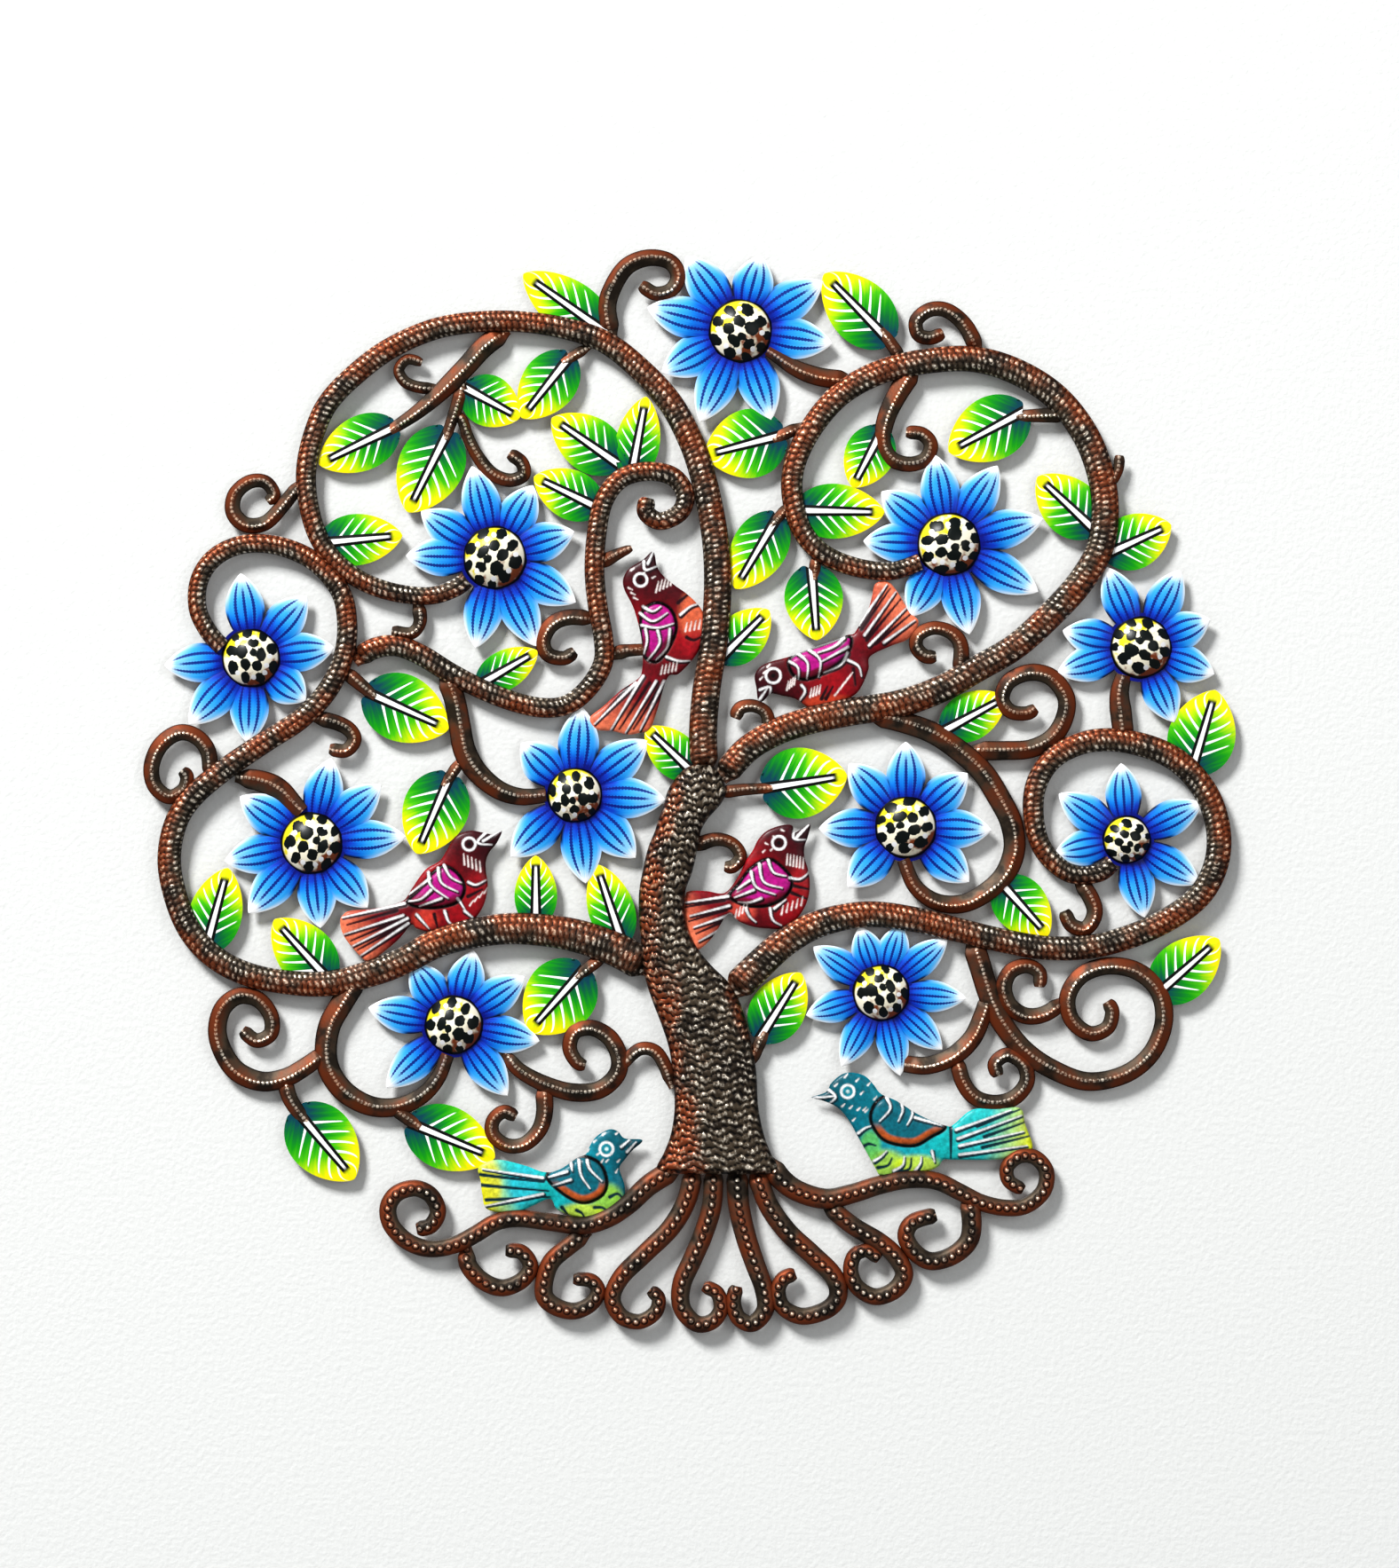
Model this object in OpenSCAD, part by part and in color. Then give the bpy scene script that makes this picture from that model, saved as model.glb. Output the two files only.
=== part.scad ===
// Tree of life wall piece: pressed sheet-steel pieces lapped and brazed into one openwork disc.
// X runs to the right, Z up, and the wall is the plane Y = 0; the relief stands out towards -Y.
// Plates (leaves, petals, birds) lie on the wall, vines, limbs and roots lap over them, and the
// trunk laps over the limbs and roots.

/* [Overall] */
// Width across the whole tree
tree_d = 612; // [480:1:760]
// Thickness of every sheet
sheet_t = 1.2; // [0.8:0.1:2]

/* [Trunk] */
// Height of the trunk's relief
trunk_rise = 8.5; // [5:0.5:14]
// How far the flat strap behind the trunk stays inside its edge
strap_inset = 4; // [2:0.5:6]

/* [Limbs] */
// Width of the widest limb where it leaves the trunk, on a tree 612 across
limb_w = 20; // [14:0.5:26]
// Height of a limb's relief at its widest
limb_rise = 7; // [4:0.5:10]

/* [Vines] */
// Width of the widest vine, on a tree 612 across
vine_w = 13; // [9:0.5:16]
// Height of a vine's ridge at its widest
vine_rise = 4.5; // [3:0.5:7]

/* [Roots] */
// Width of the widest root, on a tree 612 across
root_w = 13; // [9:0.5:16]
// Height of a root's relief at its widest
root_rise = 5; // [3:0.5:8]

/* [Flowers] */
// Width of a petal at its widest, on a tree 612 across
petal_w = 22; // [14:0.5:26]
// Height of a flower's domed centre
dome_rise = 9; // [5:0.5:13]
// Gap between a stem's end and the dome it meets
dome_gap = 0.3; // [0.1:0.1:1]

/* [Leaves] */
// Height of a leaf's raised midrib above its blade
rib_rise = 0.8; // [0.4:0.1:2]
// Width of a midrib at its base
rib_w = 4; // [2:0.5:6]

/* [Birds] */
// Height of a bird's raised body
bird_rise = 3.5; // [2.5:0.5:6]
// Height of a wing's boss above the body
wing_rise = 2.5; // [1:0.5:4]

/* [Hidden] */

// Width across the tree that the points below are drawn at
drawn_d = 612;
// Scale from the drawn points to the set size
k = tree_d / drawn_d;
// Length of the flat tab that laps under or over a neighbour
tab = 3;
// Length over which the relief rises from a tab
ramp = 6;
// Length over which a free tip rounds off
tip_len = 3;
// Spacing of the rings along limbs, and along vines and roots
limb_step = 13 * k;
vine_step = 8 * k;
// Where the ends of a strip go: into a flat tab, square against a dome, or to a free tip
TAB = 0;
BUTT = 1;
TIP = 2;
$fn = 48;

// ---------- curves ----------

function spline_point(a, b, c, d, t) =
    0.5 * (2 * b + (c - a) * t + (2 * a - 5 * b + 4 * c - d) * t * t
    + (3 * b - a - 3 * c + d) * t * t * t);

// Smooth open line through hand-chosen points
function spline(P, step) = let (m = len(P) - 1) [
    for (i = [0 : m - 1])
        let (n = max(1, round(norm(P[i + 1] - P[i]) / step)))
        for (j = [0 : n - 1])
            spline_point(P[max(i - 1, 0)], P[i], P[i + 1], P[min(i + 2, m)], j / n),
    P[m]
];

// Smooth closed outline through hand-chosen points
function outline(P, n) = let (m = len(P)) [
    for (i = [0 : m - 1]) for (j = [0 : n - 1])
        spline_point(P[(i + m - 1) % m], P[i], P[(i + 1) % m], P[(i + 2) % m], j / n)
];

// Distance along a line at each of its points
function distances(Q) = [
    for (i = 0, s = 0; i < len(Q); s = s + (i < len(Q) - 1 ? norm(Q[i + 1] - Q[i]) : 0), i = i + 1) s
];

// Value at share u of the way through a list
function mix(W, u) = let (m = (len(W) - 1) * u, i = min(floor(m), len(W) - 2))
    W[i] + (W[i + 1] - W[i]) * (m - i);

function clamp(v) = max(0, min(1, v));
function ease(v) = let (c = clamp(v)) c * c * (3 - 2 * c);

// ---------- pressed strips ----------

// Half-round and ridged sections, as shares of half the width and of the height
round_section = [for (a = [180 : -45 : 0]) [cos(a), pow(abs(sin(a)), 0.8)]];
root_section = [for (a = [180 : -60 : 0]) [cos(a), pow(abs(sin(a)), 0.8)]];
ridge_section = [[-1, 0], [0.1, 1], [1, 0]];

// A pressed wall of one sheet's thickness, open at the back
function wall_section(shape, w, h) = concat(
    [for (q = shape) [q[0] * w / 2, q[1] * h]],
    [for (i = [len(shape) - 1 : -1 : 0])
        [shape[i][0] * (w / 2 - sheet_t), shape[i][1] * max(h - sheet_t, 0)]]
);

function ring(section, p, side, base) =
    [for (q = section) [p[0] + q[0] * side[0], -(base + q[1]), p[1] + q[0] * side[1]]];

module skin(rings) {
    n = len(rings[0]);
    m = len(rings);
    last = (m - 1) * n;
    polyhedron(
        points = [for (r = rings) each r],
        faces = concat(
            [for (i = [0 : m - 2]) for (j = [0 : n - 1]) let (a = i * n + j, b = i * n + (j + 1) % n)
                each [[a, b, b + n], [a, b + n, a + n]]],
            [for (j = [0 : n / 2 - 2])
                each [[n - 1 - j, n - 2 - j, j + 1], [n - 1 - j, j + 1, j]]],
            [for (j = [0 : n / 2 - 2])
                each [[last + j, last + j + 1, last + n - 2 - j],
                    [last + j, last + n - 2 - j, last + n - 1 - j]]]
        ),
        convexity = 10
    );
}

// Share of the full relief at distance s from an end of the given kind
function end_relief(kind, s) = kind == TAB ? ease((s - tab) / ramp) : 1;
function end_width(kind, s) = kind == TIP ? 0.55 + 0.45 * sqrt(clamp((s + 0.2) / tip_len)) : 1;

// A strip along points P, of width wide * its shares W, from layer low to layer high
module strip(P, W, wide, rise, shape, step, start, finish, low, high) {
    Q = spline(P, step);
    D = distances(Q);
    n = len(Q) - 1;
    total = D[n];
    skin([
        for (i = [0 : n])
            let (
                d = Q[min(i + 1, n)] - Q[max(i - 1, 0)],
                side = [-d[1], d[0]] / norm(d),
                away = total - D[i],
                share = mix(W, D[i] / total),
                w = wide * share * end_width(finish, away),
                full = rise * min(1, 0.35 + 0.65 * share) * end_width(finish, away),
                relief = end_relief(start, D[i]) * end_relief(finish, away),
                h = sheet_t + (full - sheet_t) * relief,
                base = sheet_t * (low + (high - low) * ease((D[i] - tab) / ramp))
            )
            ring(wall_section(shape, w, h), Q[i], side, base)
    ]);
}

// Point on a flower's rim, where a stem meets its dome, in the given direction
function rim(i, angle) = let (f = FLOWERS[i])
    k * [f[0], f[1]] + (k * f[2] + dome_gap) * [cos(angle), sin(angle)];

// Limb on layer 1; its start laps under the piece it springs from
module limb(P, W, start, finish, low = 1) {
    color("sienna") strip(P, W, k * limb_w, limb_rise, round_section, limb_step, start, finish, low, 1);
}
module vine(P, W, finish, low = 0) {
    strip(P, W, k * vine_w, vine_rise, ridge_section, vine_step, TAB, finish, low, 1);
}
module root_strip(P, W, low = 1) {
    color("saddlebrown")
        strip(P, W, k * root_w, root_rise, root_section, vine_step, TAB, TIP, low, 1);
}

// ---------- trunk ----------

// Left and right edges of the trunk at each height: [z, left, right]
TRUNK = [
    [22, 1, 10], [20, -4, 13], [14, -10, 17], [7, -14, 19], [0, -16, 16], [-8, -19, 9],
    [-15, -21, 5], [-25, -25, 3], [-38, -28, 0], [-50, -30, -4], [-65, -30, -4],
    [-78, -29, 1], [-90, -28, 10], [-100, -26, 20], [-112, -22, 27], [-125, -17, 31],
    [-138, -13, 34], [-152, -11, 36], [-170, -10, 37], [-185, -12, 40], [-196, -16, 44],
    [-204, -20, 48], [-208, -17, 46]
];
trunk_section = [for (a = [180 : -30 : 0]) [cos(a), pow(abs(sin(a)), 0.7)]];

// Heights between which the strap is thick enough to meet the trunk's rim
strap_top = -36;
strap_foot = -70;
// Trunk's outline between two heights, brought in by the given distance
function trunk_sheet(top, foot, inset) = let (rows = [for (s = TRUNK)
    if (s[0] <= top && s[0] >= foot) s]) concat(
        [for (s = rows) k * [s[1], s[0]] + [inset, 0]],
        [for (i = [len(rows) - 1 : -1 : 0]) k * [rows[i][2], rows[i][0]] - [inset, 0]]
    );

module trunk() {
    color("dimgray") {
        skin([
            for (s = TRUNK)
                let (
                    w = k * (s[2] - s[1]),
                    centre = k * (s[1] + s[2]) / 2,
                    h = trunk_rise * min(1, 0.55 + w / 60)
                )
                ring(wall_section(trunk_section, w, h), [centre, k * s[0]], [1, 0], 2 * sheet_t)
        ]);
        stand(sheet_t) polygon(trunk_sheet(7, -204, strap_inset));
        stand(2.1 * sheet_t) polygon(trunk_sheet(strap_top, strap_foot, 0.3));
    }
}

// ---------- limbs ----------

module limb_low_left() {
    limb(k * [
        [-24, -92], [-45, -81], [-70, -73], [-100, -70], [-125, -73], [-145, -79], [-162, -88],
        [-180, -95], [-205, -101], [-230, -100], [-252, -95], [-270, -85], [-283, -70],
        [-291, -50], [-294, -30], [-290, -10], [-280, 5], [-262, 20], [-240, 35], [-220, 48],
        [-205, 64], [-196, 83], [-194, 102], [-198, 120], [-212, 136], [-232, 145],
        [-252, 146], [-268, 139], [-277, 126], [-278, 110], [-272, 97], [-264, 88]
    ], [1, 0.85, 0.68, 0.66, 0.6, 0.55, 0.5], TAB, BUTT);
}

module limb_crown_left() {
    limb(k * [
        [7, 18], [6, 40], [8, 65], [12, 90], [14, 115], [14, 135], [12, 155], [7, 180],
        [0, 202], [-12, 225], [-28, 243], [-48, 259], [-70, 267], [-95, 271], [-120, 271],
        [-145, 267], [-170, 256], [-190, 241], [-205, 225], [-213, 207], [-217, 188],
        [-216, 170], [-211, 152], [-202, 138], [-187, 126], [-168, 119], [-148, 117],
        [-134, 121], [-127, 126]
    ], [0.8, 0.78, 0.7, 0.6, 0.62, 0.55, 0.5], TAB, BUTT);
}

module limb_inner_left() {
    limb(k * [
        [-190, 80], [-180, 87], [-167, 89], [-153, 84], [-135, 73], [-115, 63], [-95, 56],
        [-80, 54], [-68, 57], [-57, 67], [-50, 80], [-50, 93], [-53, 110], [-55, 130],
        [-54, 150], [-50, 170], [-40, 183], [-25, 187], [-11, 184], [-4, 174], [-7, 164],
        [-18, 159], [-26, 164], [-25, 172]
    ], [0.62, 0.58, 0.56, 0.56, 0.55, 0.5], TAB, TIP, 0);
}

module limb_crown_right() {
    limb(k * [
        [16, 14], [30, 30], [46, 40], [66, 47], [90, 52], [115, 56], [138, 64], [160, 76],
        [182, 89], [203, 108], [219, 126], [229, 144], [232, 165], [229, 187], [220, 209],
        [204, 229], [182, 243], [158, 250], [132, 249], [106, 243], [84, 231], [68, 213],
        [58, 193], [56, 175], [61, 155], [73, 141], [92, 133], [112, 131], [128, 136]
    ], [0.75, 0.8, 0.75, 0.78, 0.75, 0.7, 0.6, 0.5], TAB, BUTT);
}

module limb_low_right() {
    limb(k * [
        [22, -106], [38, -90], [53, -77], [72, -67], [98, -62], [125, -65], [150, -71],
        [175, -77], [200, -81], [225, -80], [250, -73], [272, -62], [287, -49], [295, -31],
        [295, -11], [287, 9], [270, 26], [245, 35], [222, 35], [203, 26], [193, 10],
        [192, -10], [198, -27], [212, -39], [228, -39], [236, -33]
    ], [0.9, 0.75, 0.68, 0.68, 0.7, 0.68, 0.6, 0.5], TAB, BUTT);
}

// ---------- roots ----------

module root_far_left() {
    root_strip(k * [
        [-8, -204], [-24, -214], [-36, -225], [-48, -233], [-62, -237], [-80, -235],
        [-97, -233], [-110, -235], [-122, -242], [-134, -248], [-148, -250], [-160, -246],
        [-169, -237], [-171, -227], [-166, -219], [-156, -216], [-147, -220], [-143, -229],
        [-147, -237], [-155, -239]
    ], [1, 0.8, 0.75, 0.75, 0.7]);
}
module root_left_fork() {
    root_strip(k * [
        [-127, -248], [-126, -259], [-118, -268], [-107, -272], [-96, -268], [-91, -260],
        [-96, -252], [-105, -251]
    ], [0.8, 0.75, 0.65], 0);
}
module root_left_curl() {
    root_strip(k * [
        [-58, -240], [-70, -249], [-79, -257], [-83, -267], [-83, -277], [-76, -283],
        [-66, -285], [-57, -281], [-53, -274], [-57, -268], [-67, -267]
    ], [0.8, 0.8, 0.6], 0);
}
module root_left() {
    root_strip(k * [
        [1, -204], [-3, -222], [-12, -238], [-27, -253], [-40, -266], [-45, -278],
        [-40, -288], [-30, -291], [-21, -286], [-19, -278], [-24, -273]
    ], [0.9, 0.8, 0.6]);
}
module root_mid_left() {
    root_strip(k * [
        [12, -204], [11, -225], [6, -242], [0, -256], [-6, -270], [-6, -283], [2, -292],
        [11, -291], [16, -284], [14, -275], [6, -271]
    ], [0.9, 0.85, 0.6]);
}
module root_mid_right() {
    root_strip(k * [
        [25, -204], [26, -225], [30, -243], [35, -258], [40, -272], [41, -284], [34, -292],
        [26, -289], [23, -280], [25, -271]
    ], [1, 0.85, 0.65]);
}
module root_right() {
    root_strip(k * [
        [35, -204], [42, -224], [53, -240], [67, -253], [79, -265], [82, -276], [76, -284],
        [62, -288], [51, -283], [48, -274], [51, -267], [58, -264]
    ], [0.9, 0.85, 0.65]);
}
module root_far_right() {
    root_strip(k * [
        [42, -200], [50, -211], [60, -218], [75, -222], [90, -219], [106, -214], [122, -211],
        [137, -212], [150, -218], [162, -224], [175, -227], [187, -226], [197, -218],
        [199, -207], [193, -199], [184, -198], [177, -204], [178, -212], [186, -217]
    ], [1, 0.85, 0.75, 0.7, 0.6]);
}
module root_right_fork() {
    root_strip(k * [
        [74, -224], [90, -237], [105, -246], [114, -254], [119, -264], [114, -273],
        [103, -277], [93, -272], [89, -263], [91, -254], [98, -251], [105, -256]
    ], [0.8, 0.8, 0.6], 0);
}
module root_right_curl() {
    root_strip(k * [
        [155, -219], [157, -235], [155, -246], [146, -254], [134, -257], [125, -252],
        [120, -243], [124, -235], [137, -231]
    ], [0.9, 0.8, 0.7], 0);
}

// ---------- vines and twigs ----------

module vines_crown_left() {
    color("peru") {
        vine(k * [[-45, 262], [-48, 278], [-45, 290], [-37, 302], [-25, 307], [-13, 305],
            [-8, 297], [-12, 289], [-21, 287], [-29, 292]], [0.85, 0.75, 0.6], TIP);
        vine(k * [[-219, 182], [-230, 168], [-240, 158], [-251, 157], [-258, 164],
            [-257, 174], [-249, 181], [-240, 181], [-235, 174], [-239, 170]],
            [0.6, 0.7, 0.55], TIP);
        vine(k * [[-142, 234], [-152, 234], [-161, 237], [-165, 244], [-160, 250],
            [-152, 248]], [0.55, 0.5, 0.45], TIP, 0.5);
        vine(k * [[-104, 267], [-117, 257], [-128, 245], [-141, 232], [-155, 220],
            [-170, 210]], [0.95, 0.85, 0.5], TAB);
        vine(k * [[-129, 237], [-133, 222], [-139, 205]], [0.6, 0.55, 0.45], TAB, 0.5);
        vine(k * [[-134, 222], [-129, 215], [-126, 206], [-121, 196], [-113, 186],
            [-103, 182], [-95, 185], [-96, 192], [-103, 197]], [0.45, 0.6, 0.6], TIP, 0.5);
        vine(k * [[-57, 258], [-73, 248]], [0.5, 0.45], TAB);
        vine(k * [[-155, 115], [-153, 103], [-158, 96], [-169, 97]], [0.7, 0.55, 0.6], TIP);
    }
}

module vines_inner_left() {
    color("peru") {
        vine(concat(k * [[-140, 74], [-134, 60], [-131, 45], [-128, 30], [-121, 18],
            [-109, 8], [-96, 4]], [rim(5, 180)]), [0.9, 1, 0.65], BUTT);
        vine(k * [[-129, 26], [-140, 10]], [0.55, 0.45], TAB, 0.5);
        vine(k * [[-54, 104], [-69, 105], [-79, 101], [-84, 92], [-81, 84], [-72, 82],
            [-66, 86]], [0.7, 0.7, 0.6], TIP);
        vine(k * [[-47, 83], [-38, 86], [-24, 87]], [0.8, 0.55, 0.5], TAB);
        vine(k * [[-54, 134], [-43, 140], [-34, 144]], [0.75, 0.35], TIP);
    }
}

module vines_low_left() {
    color("peru") {
        vine(k * [[-214, 49], [-201, 46], [-193, 42], [-190, 36], [-195, 30],
            [-204, 31]], [0.7, 0.65, 0.6], TIP);
        vine(k * [[-271, 13], [-272, 29], [-279, 38], [-289, 40], [-299, 33], [-304, 21],
            [-302, 10], [-294, 4], [-286, 8], [-284, 15], [-287, 19]], [0.7, 0.72, 0.6], TIP);
        vine(concat(k * [[-257, 15], [-243, 13], [-232, 8], [-224, 0]], [rim(6, 107)]),
            [0.8, 1, 0.75], BUTT);
        vine(k * [[-197, 76], [-178, 60]], [0.7, 0.5], TAB);
        vine(k * [[-48, -84], [-66, -98]], [0.6, 0.5], TAB);
    }
}

module scroll_left() {
    color("peru") {
        vine(concat(k * [[-187, -96], [-197, -112], [-204, -125], [-206, -140], [-203, -152],
            [-194, -163], [-180, -170], [-165, -170], [-152, -164], [-143, -154]],
            [rim(10, -102)]), [1, 0.95, 0.6], BUTT);
        vine(k * [[-204, -138], [-218, -148], [-229, -154], [-242, -156], [-255, -151],
            [-263, -141], [-267, -128], [-264, -115], [-255, -108], [-244, -110],
            [-237, -119], [-237, -129], [-245, -133], [-253, -127]],
            [0.75, 0.9, 0.75, 0.62], TIP);
        vine(k * [[-230, -152], [-226, -166], [-217, -179]], [0.75, 0.6], TAB);
        vine(k * [[-171, -169], [-153, -182]], [0.6, 0.55], TAB);
    }
}

module scroll_centre_left() {
    color("peru") {
        vine(k * [[-106, -139], [-98, -149], [-84, -157], [-68, -162], [-53, -161],
            [-43, -153], [-41, -143], [-46, -132], [-56, -126], [-66, -128], [-69, -137],
            [-65, -145], [-60, -147]], [0.6, 0.8, 0.75, 0.6], TIP, 1);
        vine(k * [[-84, -157], [-83, -172], [-86, -183], [-94, -191], [-104, -192],
            [-112, -186], [-112, -178], [-106, -173], [-99, -176]], [0.8, 0.65, 0.6], TIP);
    }
}

module vines_crown_right() {
    color("peru") {
        vine(k * [[63, 213], [45, 205]], [0.6, 0.5], TAB);
        vine(concat(k * [[90, 238], [72, 240], [58, 245], [47, 252]], [rim(0, -36)]),
            [0.85, 0.8, 0.5], BUTT);
        vine(k * [[161, 253], [154, 268], [144, 277], [134, 278], [126, 272], [127, 264],
            [134, 262], [141, 265]], [0.75, 0.65, 0.6], TIP);
        vine(k * [[119, 248], [106, 267]], [0.6, 0.5], TAB);
        vine(k * [[125, 246], [115, 230], [109, 217], [107, 204], [112, 194], [122, 191],
            [131, 194], [134, 202], [129, 208], [120, 209]], [1, 0.7, 0.6], TIP);
        vine(k * [[212, 219], [182, 218]], [0.75, 0.5], TAB);
        vine(k * [[233, 176], [239, 187], [240, 196]], [0.4, 0.5], TIP);
        vine(k * [[56, 170], [44, 156]], [0.5, 0.45], TAB);
        vine(k * [[70, 142], [68, 126]], [0.55, 0.5], TAB);
        vine(k * [[150, 71], [151, 88], [146, 96], [136, 99], [127, 95], [126, 88],
            [131, 83], [137, 83]], [0.75, 0.6, 0.62], TIP);
        vine(k * [[43, 36], [42, 50], [35, 55], [27, 54], [24, 48]], [0.65, 0.55, 0.62], TIP);
    }
}

module scroll_right_upper() {
    color("peru") {
        vine(concat(k * [[100, 50], [118, 46], [135, 40], [150, 30], [163, 18], [172, 4],
            [179, -10], [181, -25], [176, -39], [166, -49], [152, -56], [137, -55],
            [125, -46]], [rim(7, -94)]), [0.9, 0.95, 1, 0.95, 0.8, 0.6], BUTT);
        vine(k * [[157, 30], [175, 30], [190, 31], [202, 37], [209, 48], [210, 60],
            [202, 71], [190, 74], [178, 69], [174, 59], [179, 52], [188, 51], [193, 54]],
            [0.85, 0.8, 0.75, 0.6], TIP);
    }
}

module scroll_right_lower() {
    color("peru") {
        vine(k * [[157, -76], [162, -92], [167, -108], [174, -123], [186, -138], [202, -149],
            [222, -156], [243, -152], [258, -140], [265, -122], [262, -105], [250, -94],
            [234, -91], [219, -96], [211, -108], [213, -121], [223, -129], [233, -126],
            [236, -117], [233, -111]], [1, 0.9, 0.8, 0.8, 0.75, 0.62], TIP);
        vine(k * [[210, -110], [198, -118], [187, -119], [178, -113], [175, -103],
            [179, -94], [188, -91], [195, -95], [195, -103]], [0.7, 0.75, 0.6], TIP);
        vine(concat(k * [[243, 34], [241, 50], [240, 62]], [rim(4, -122)]),
            [0.9, 0.95, 0.7], BUTT);
        vine(k * [[216, -41], [224, -53], [226, -62], [221, -70], [213, -68], [209, -60]],
            [0.75, 0.7, 0.62], TIP);
    }
}

module scroll_right_inner() {
    color("peru") {
        vine(k * [[167, -106], [163, -119], [157, -132], [146, -142], [132, -147],
            [119, -146]], [0.75, 0.85, 0.75], TAB);
        vine(k * [[148, -141], [152, -156], [159, -165], [170, -168], [181, -165],
            [188, -156], [186, -146], [177, -141], [170, -146], [172, -153]],
            [0.7, 0.7, 0.62], TIP);
    }
}

module twigs_trunk() {
    color("peru") {
        vine(k * [[-1, -25], [12, -20], [22, -22], [27, -29], [23, -35], [18, -35]],
            [0.7, 0.55, 0.6], TIP, 1);
        vine(k * [[13, 6], [28, 8], [45, 9]], [0.6, 0.45], TAB, 1);
        vine(k * [[31, -148], [41, -128]], [0.65, 0.5], TAB, 1);
        vine(k * [[-11, -160], [-15, -148], [-21, -139], [-30, -138], [-39, -146]],
            [0.6, 0.6, 0.55], TAB, 1);
    }
}

// ---------- flowers ----------

// Flowers: centre x, z, dome radius, petal width share, petals [angle, reach]
FLOWERS = [
    [27, 266, 18.5, 1.05, [[126, 52], [75, 44], [31, 54], [-8, 52], [-71, 53], [-114, 56],
        [-152, 50], [166, 54]]],
    [-248, 82, 17, 1, [[97, 48], [48, 47], [7, 47], [-38, 39], [-92, 48], [-133, 51],
        [-175, 49]]],
    [-111, 138.5, 18.5, 1, [[104, 53], [62, 46], [18, 47], [-29, 52], [-65, 55], [-102, 52],
        [179, 50], [148, 49]]],
    [144, 146, 18.5, 1, [[99, 51], [58, 52], [15, 55], [-28, 57], [-77, 52], [-118, 46],
        [178, 48], [142, 48]]],
    [252, 88, 18, 0.95, [[113, 49], [63, 49], [22, 42], [-20, 44], [-66, 46], [-163, 49],
        [168, 45]]],
    [-66, 5, 16, 1.05, [[86, 50], [37, 51], [-3, 51], [-46, 49], [-83, 50], [-136, 50],
        [136, 42]]],
    [-214, -22, 18, 1, [[77, 49], [40, 51], [4, 53], [-49, 48], [-84, 48], [-132, 53],
        [-168, 50], [147, 48]]],
    [120, -13, 18, 1, [[90, 48], [41, 46], [-2, 48], [-41, 47], [-134, 47], [-179, 49],
        [132, 48]]],
    [244, -20, 14, 0.92, [[94, 43], [26, 47], [-31, 48], [-77, 45], [-169, 41], [146, 46]]],
    [106, -106, 16.5, 0.82, [[108, 39], [74, 40], [39, 48], [-4, 48], [-43, 47], [-77, 48],
        [-118, 47], [-163, 44], [146, 46]]],
    [-134, -124, 17, 0.95, [[75, 43], [124, 42], [169, 49], [-137, 52], [-53, 50], [-11, 49],
        [34, 48]]]
];
// How far the flower's disc stands past the dome
disc_margin = 2;
// Share of the way along a petal where it is widest
petal_belly = 0.45;
// Width of a petal at its foot, as a share of its greatest width
petal_foot = 0.55;

// Half width of a petal at share t of its length
function petal_half(t) = t < petal_belly
    ? petal_foot + (1 - petal_foot) * sin(90 * t / petal_belly)
    : pow(cos(90 * (t - petal_belly) / (1 - petal_belly)), 0.8);

module petal(length_all, foot, wide) {
    up = [for (t = [0 : 0.125 : 1]) [foot + (length_all - foot) * t, wide / 2 * petal_half(t)]];
    polygon(concat(up, [for (i = [len(up) - 2 : -1 : 0]) [up[i][0], -up[i][1]]]));
}

// Plates are drawn in the XY plane and stood up against the wall
module stand(height) {
    rotate([90, 0, 0]) linear_extrude(height) children();
}

module petals(i) {
    f = FLOWERS[i];
    color("dodgerblue") translate(k * [f[0], 0, f[1]]) stand(sheet_t) {
        circle(k * f[2] + disc_margin);
        for (p = f[4]) rotate(p[0]) petal(k * p[1], k * f[2] * 0.7, k * petal_w * f[3]);
    }
}

module dome(i) {
    f = FLOWERS[i];
    r = k * f[2];
    ball = (r * r + dome_rise * dome_rise) / (2 * dome_rise);
    color("khaki") translate([k * f[0], -sheet_t, k * f[1]]) rotate([90, 0, 0])
        intersection() {
            translate([0, 0, dome_rise - ball]) difference() {
                sphere(ball);
                sphere(ball - sheet_t);
            }
            cylinder(r = r, h = dome_rise + 1);
        }
}

// ---------- leaves ----------

// How fast a leaf widens from its base and narrows to its tip
base_power = 0.5;
tip_power = 0.72;
leaf_peak = base_power / (base_power + tip_power);
leaf_norm = pow(leaf_peak, base_power) * pow(1 - leaf_peak, tip_power);

function leaf_half(t) = pow(t, base_power) * pow(1 - t, tip_power) / leaf_norm;

// Leaf from its base to its tip, of greatest width wide
module leaf(base, point, wide) {
    v = point - base;
    long = norm(v);
    up = [for (i = [1 : 11]) let (t = 1 - cos(90 * i / 12)) [long * t, wide / 2 * leaf_half(t)]];
    translate([base[0], 0, base[1]]) rotate([0, -atan2(v[1], v[0]), 0]) {
        stand(sheet_t) polygon(concat([[0, 0]], up, [[long, 0]],
            [for (i = [len(up) - 1 : -1 : 0]) [up[i][0], -up[i][1]]]));
        translate([0, -sheet_t, 0]) stand(rib_rise)
            polygon([[tab + 2, rib_w / 2], [long * 0.95, rib_w * 0.15],
                [long * 0.95, -rib_w * 0.15], [tab + 2, -rib_w / 2]]);
    }
}

module leaves(L) {
    color("limegreen") for (v = L) leaf(k * v[0], k * v[1], k * v[2]);
}

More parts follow.
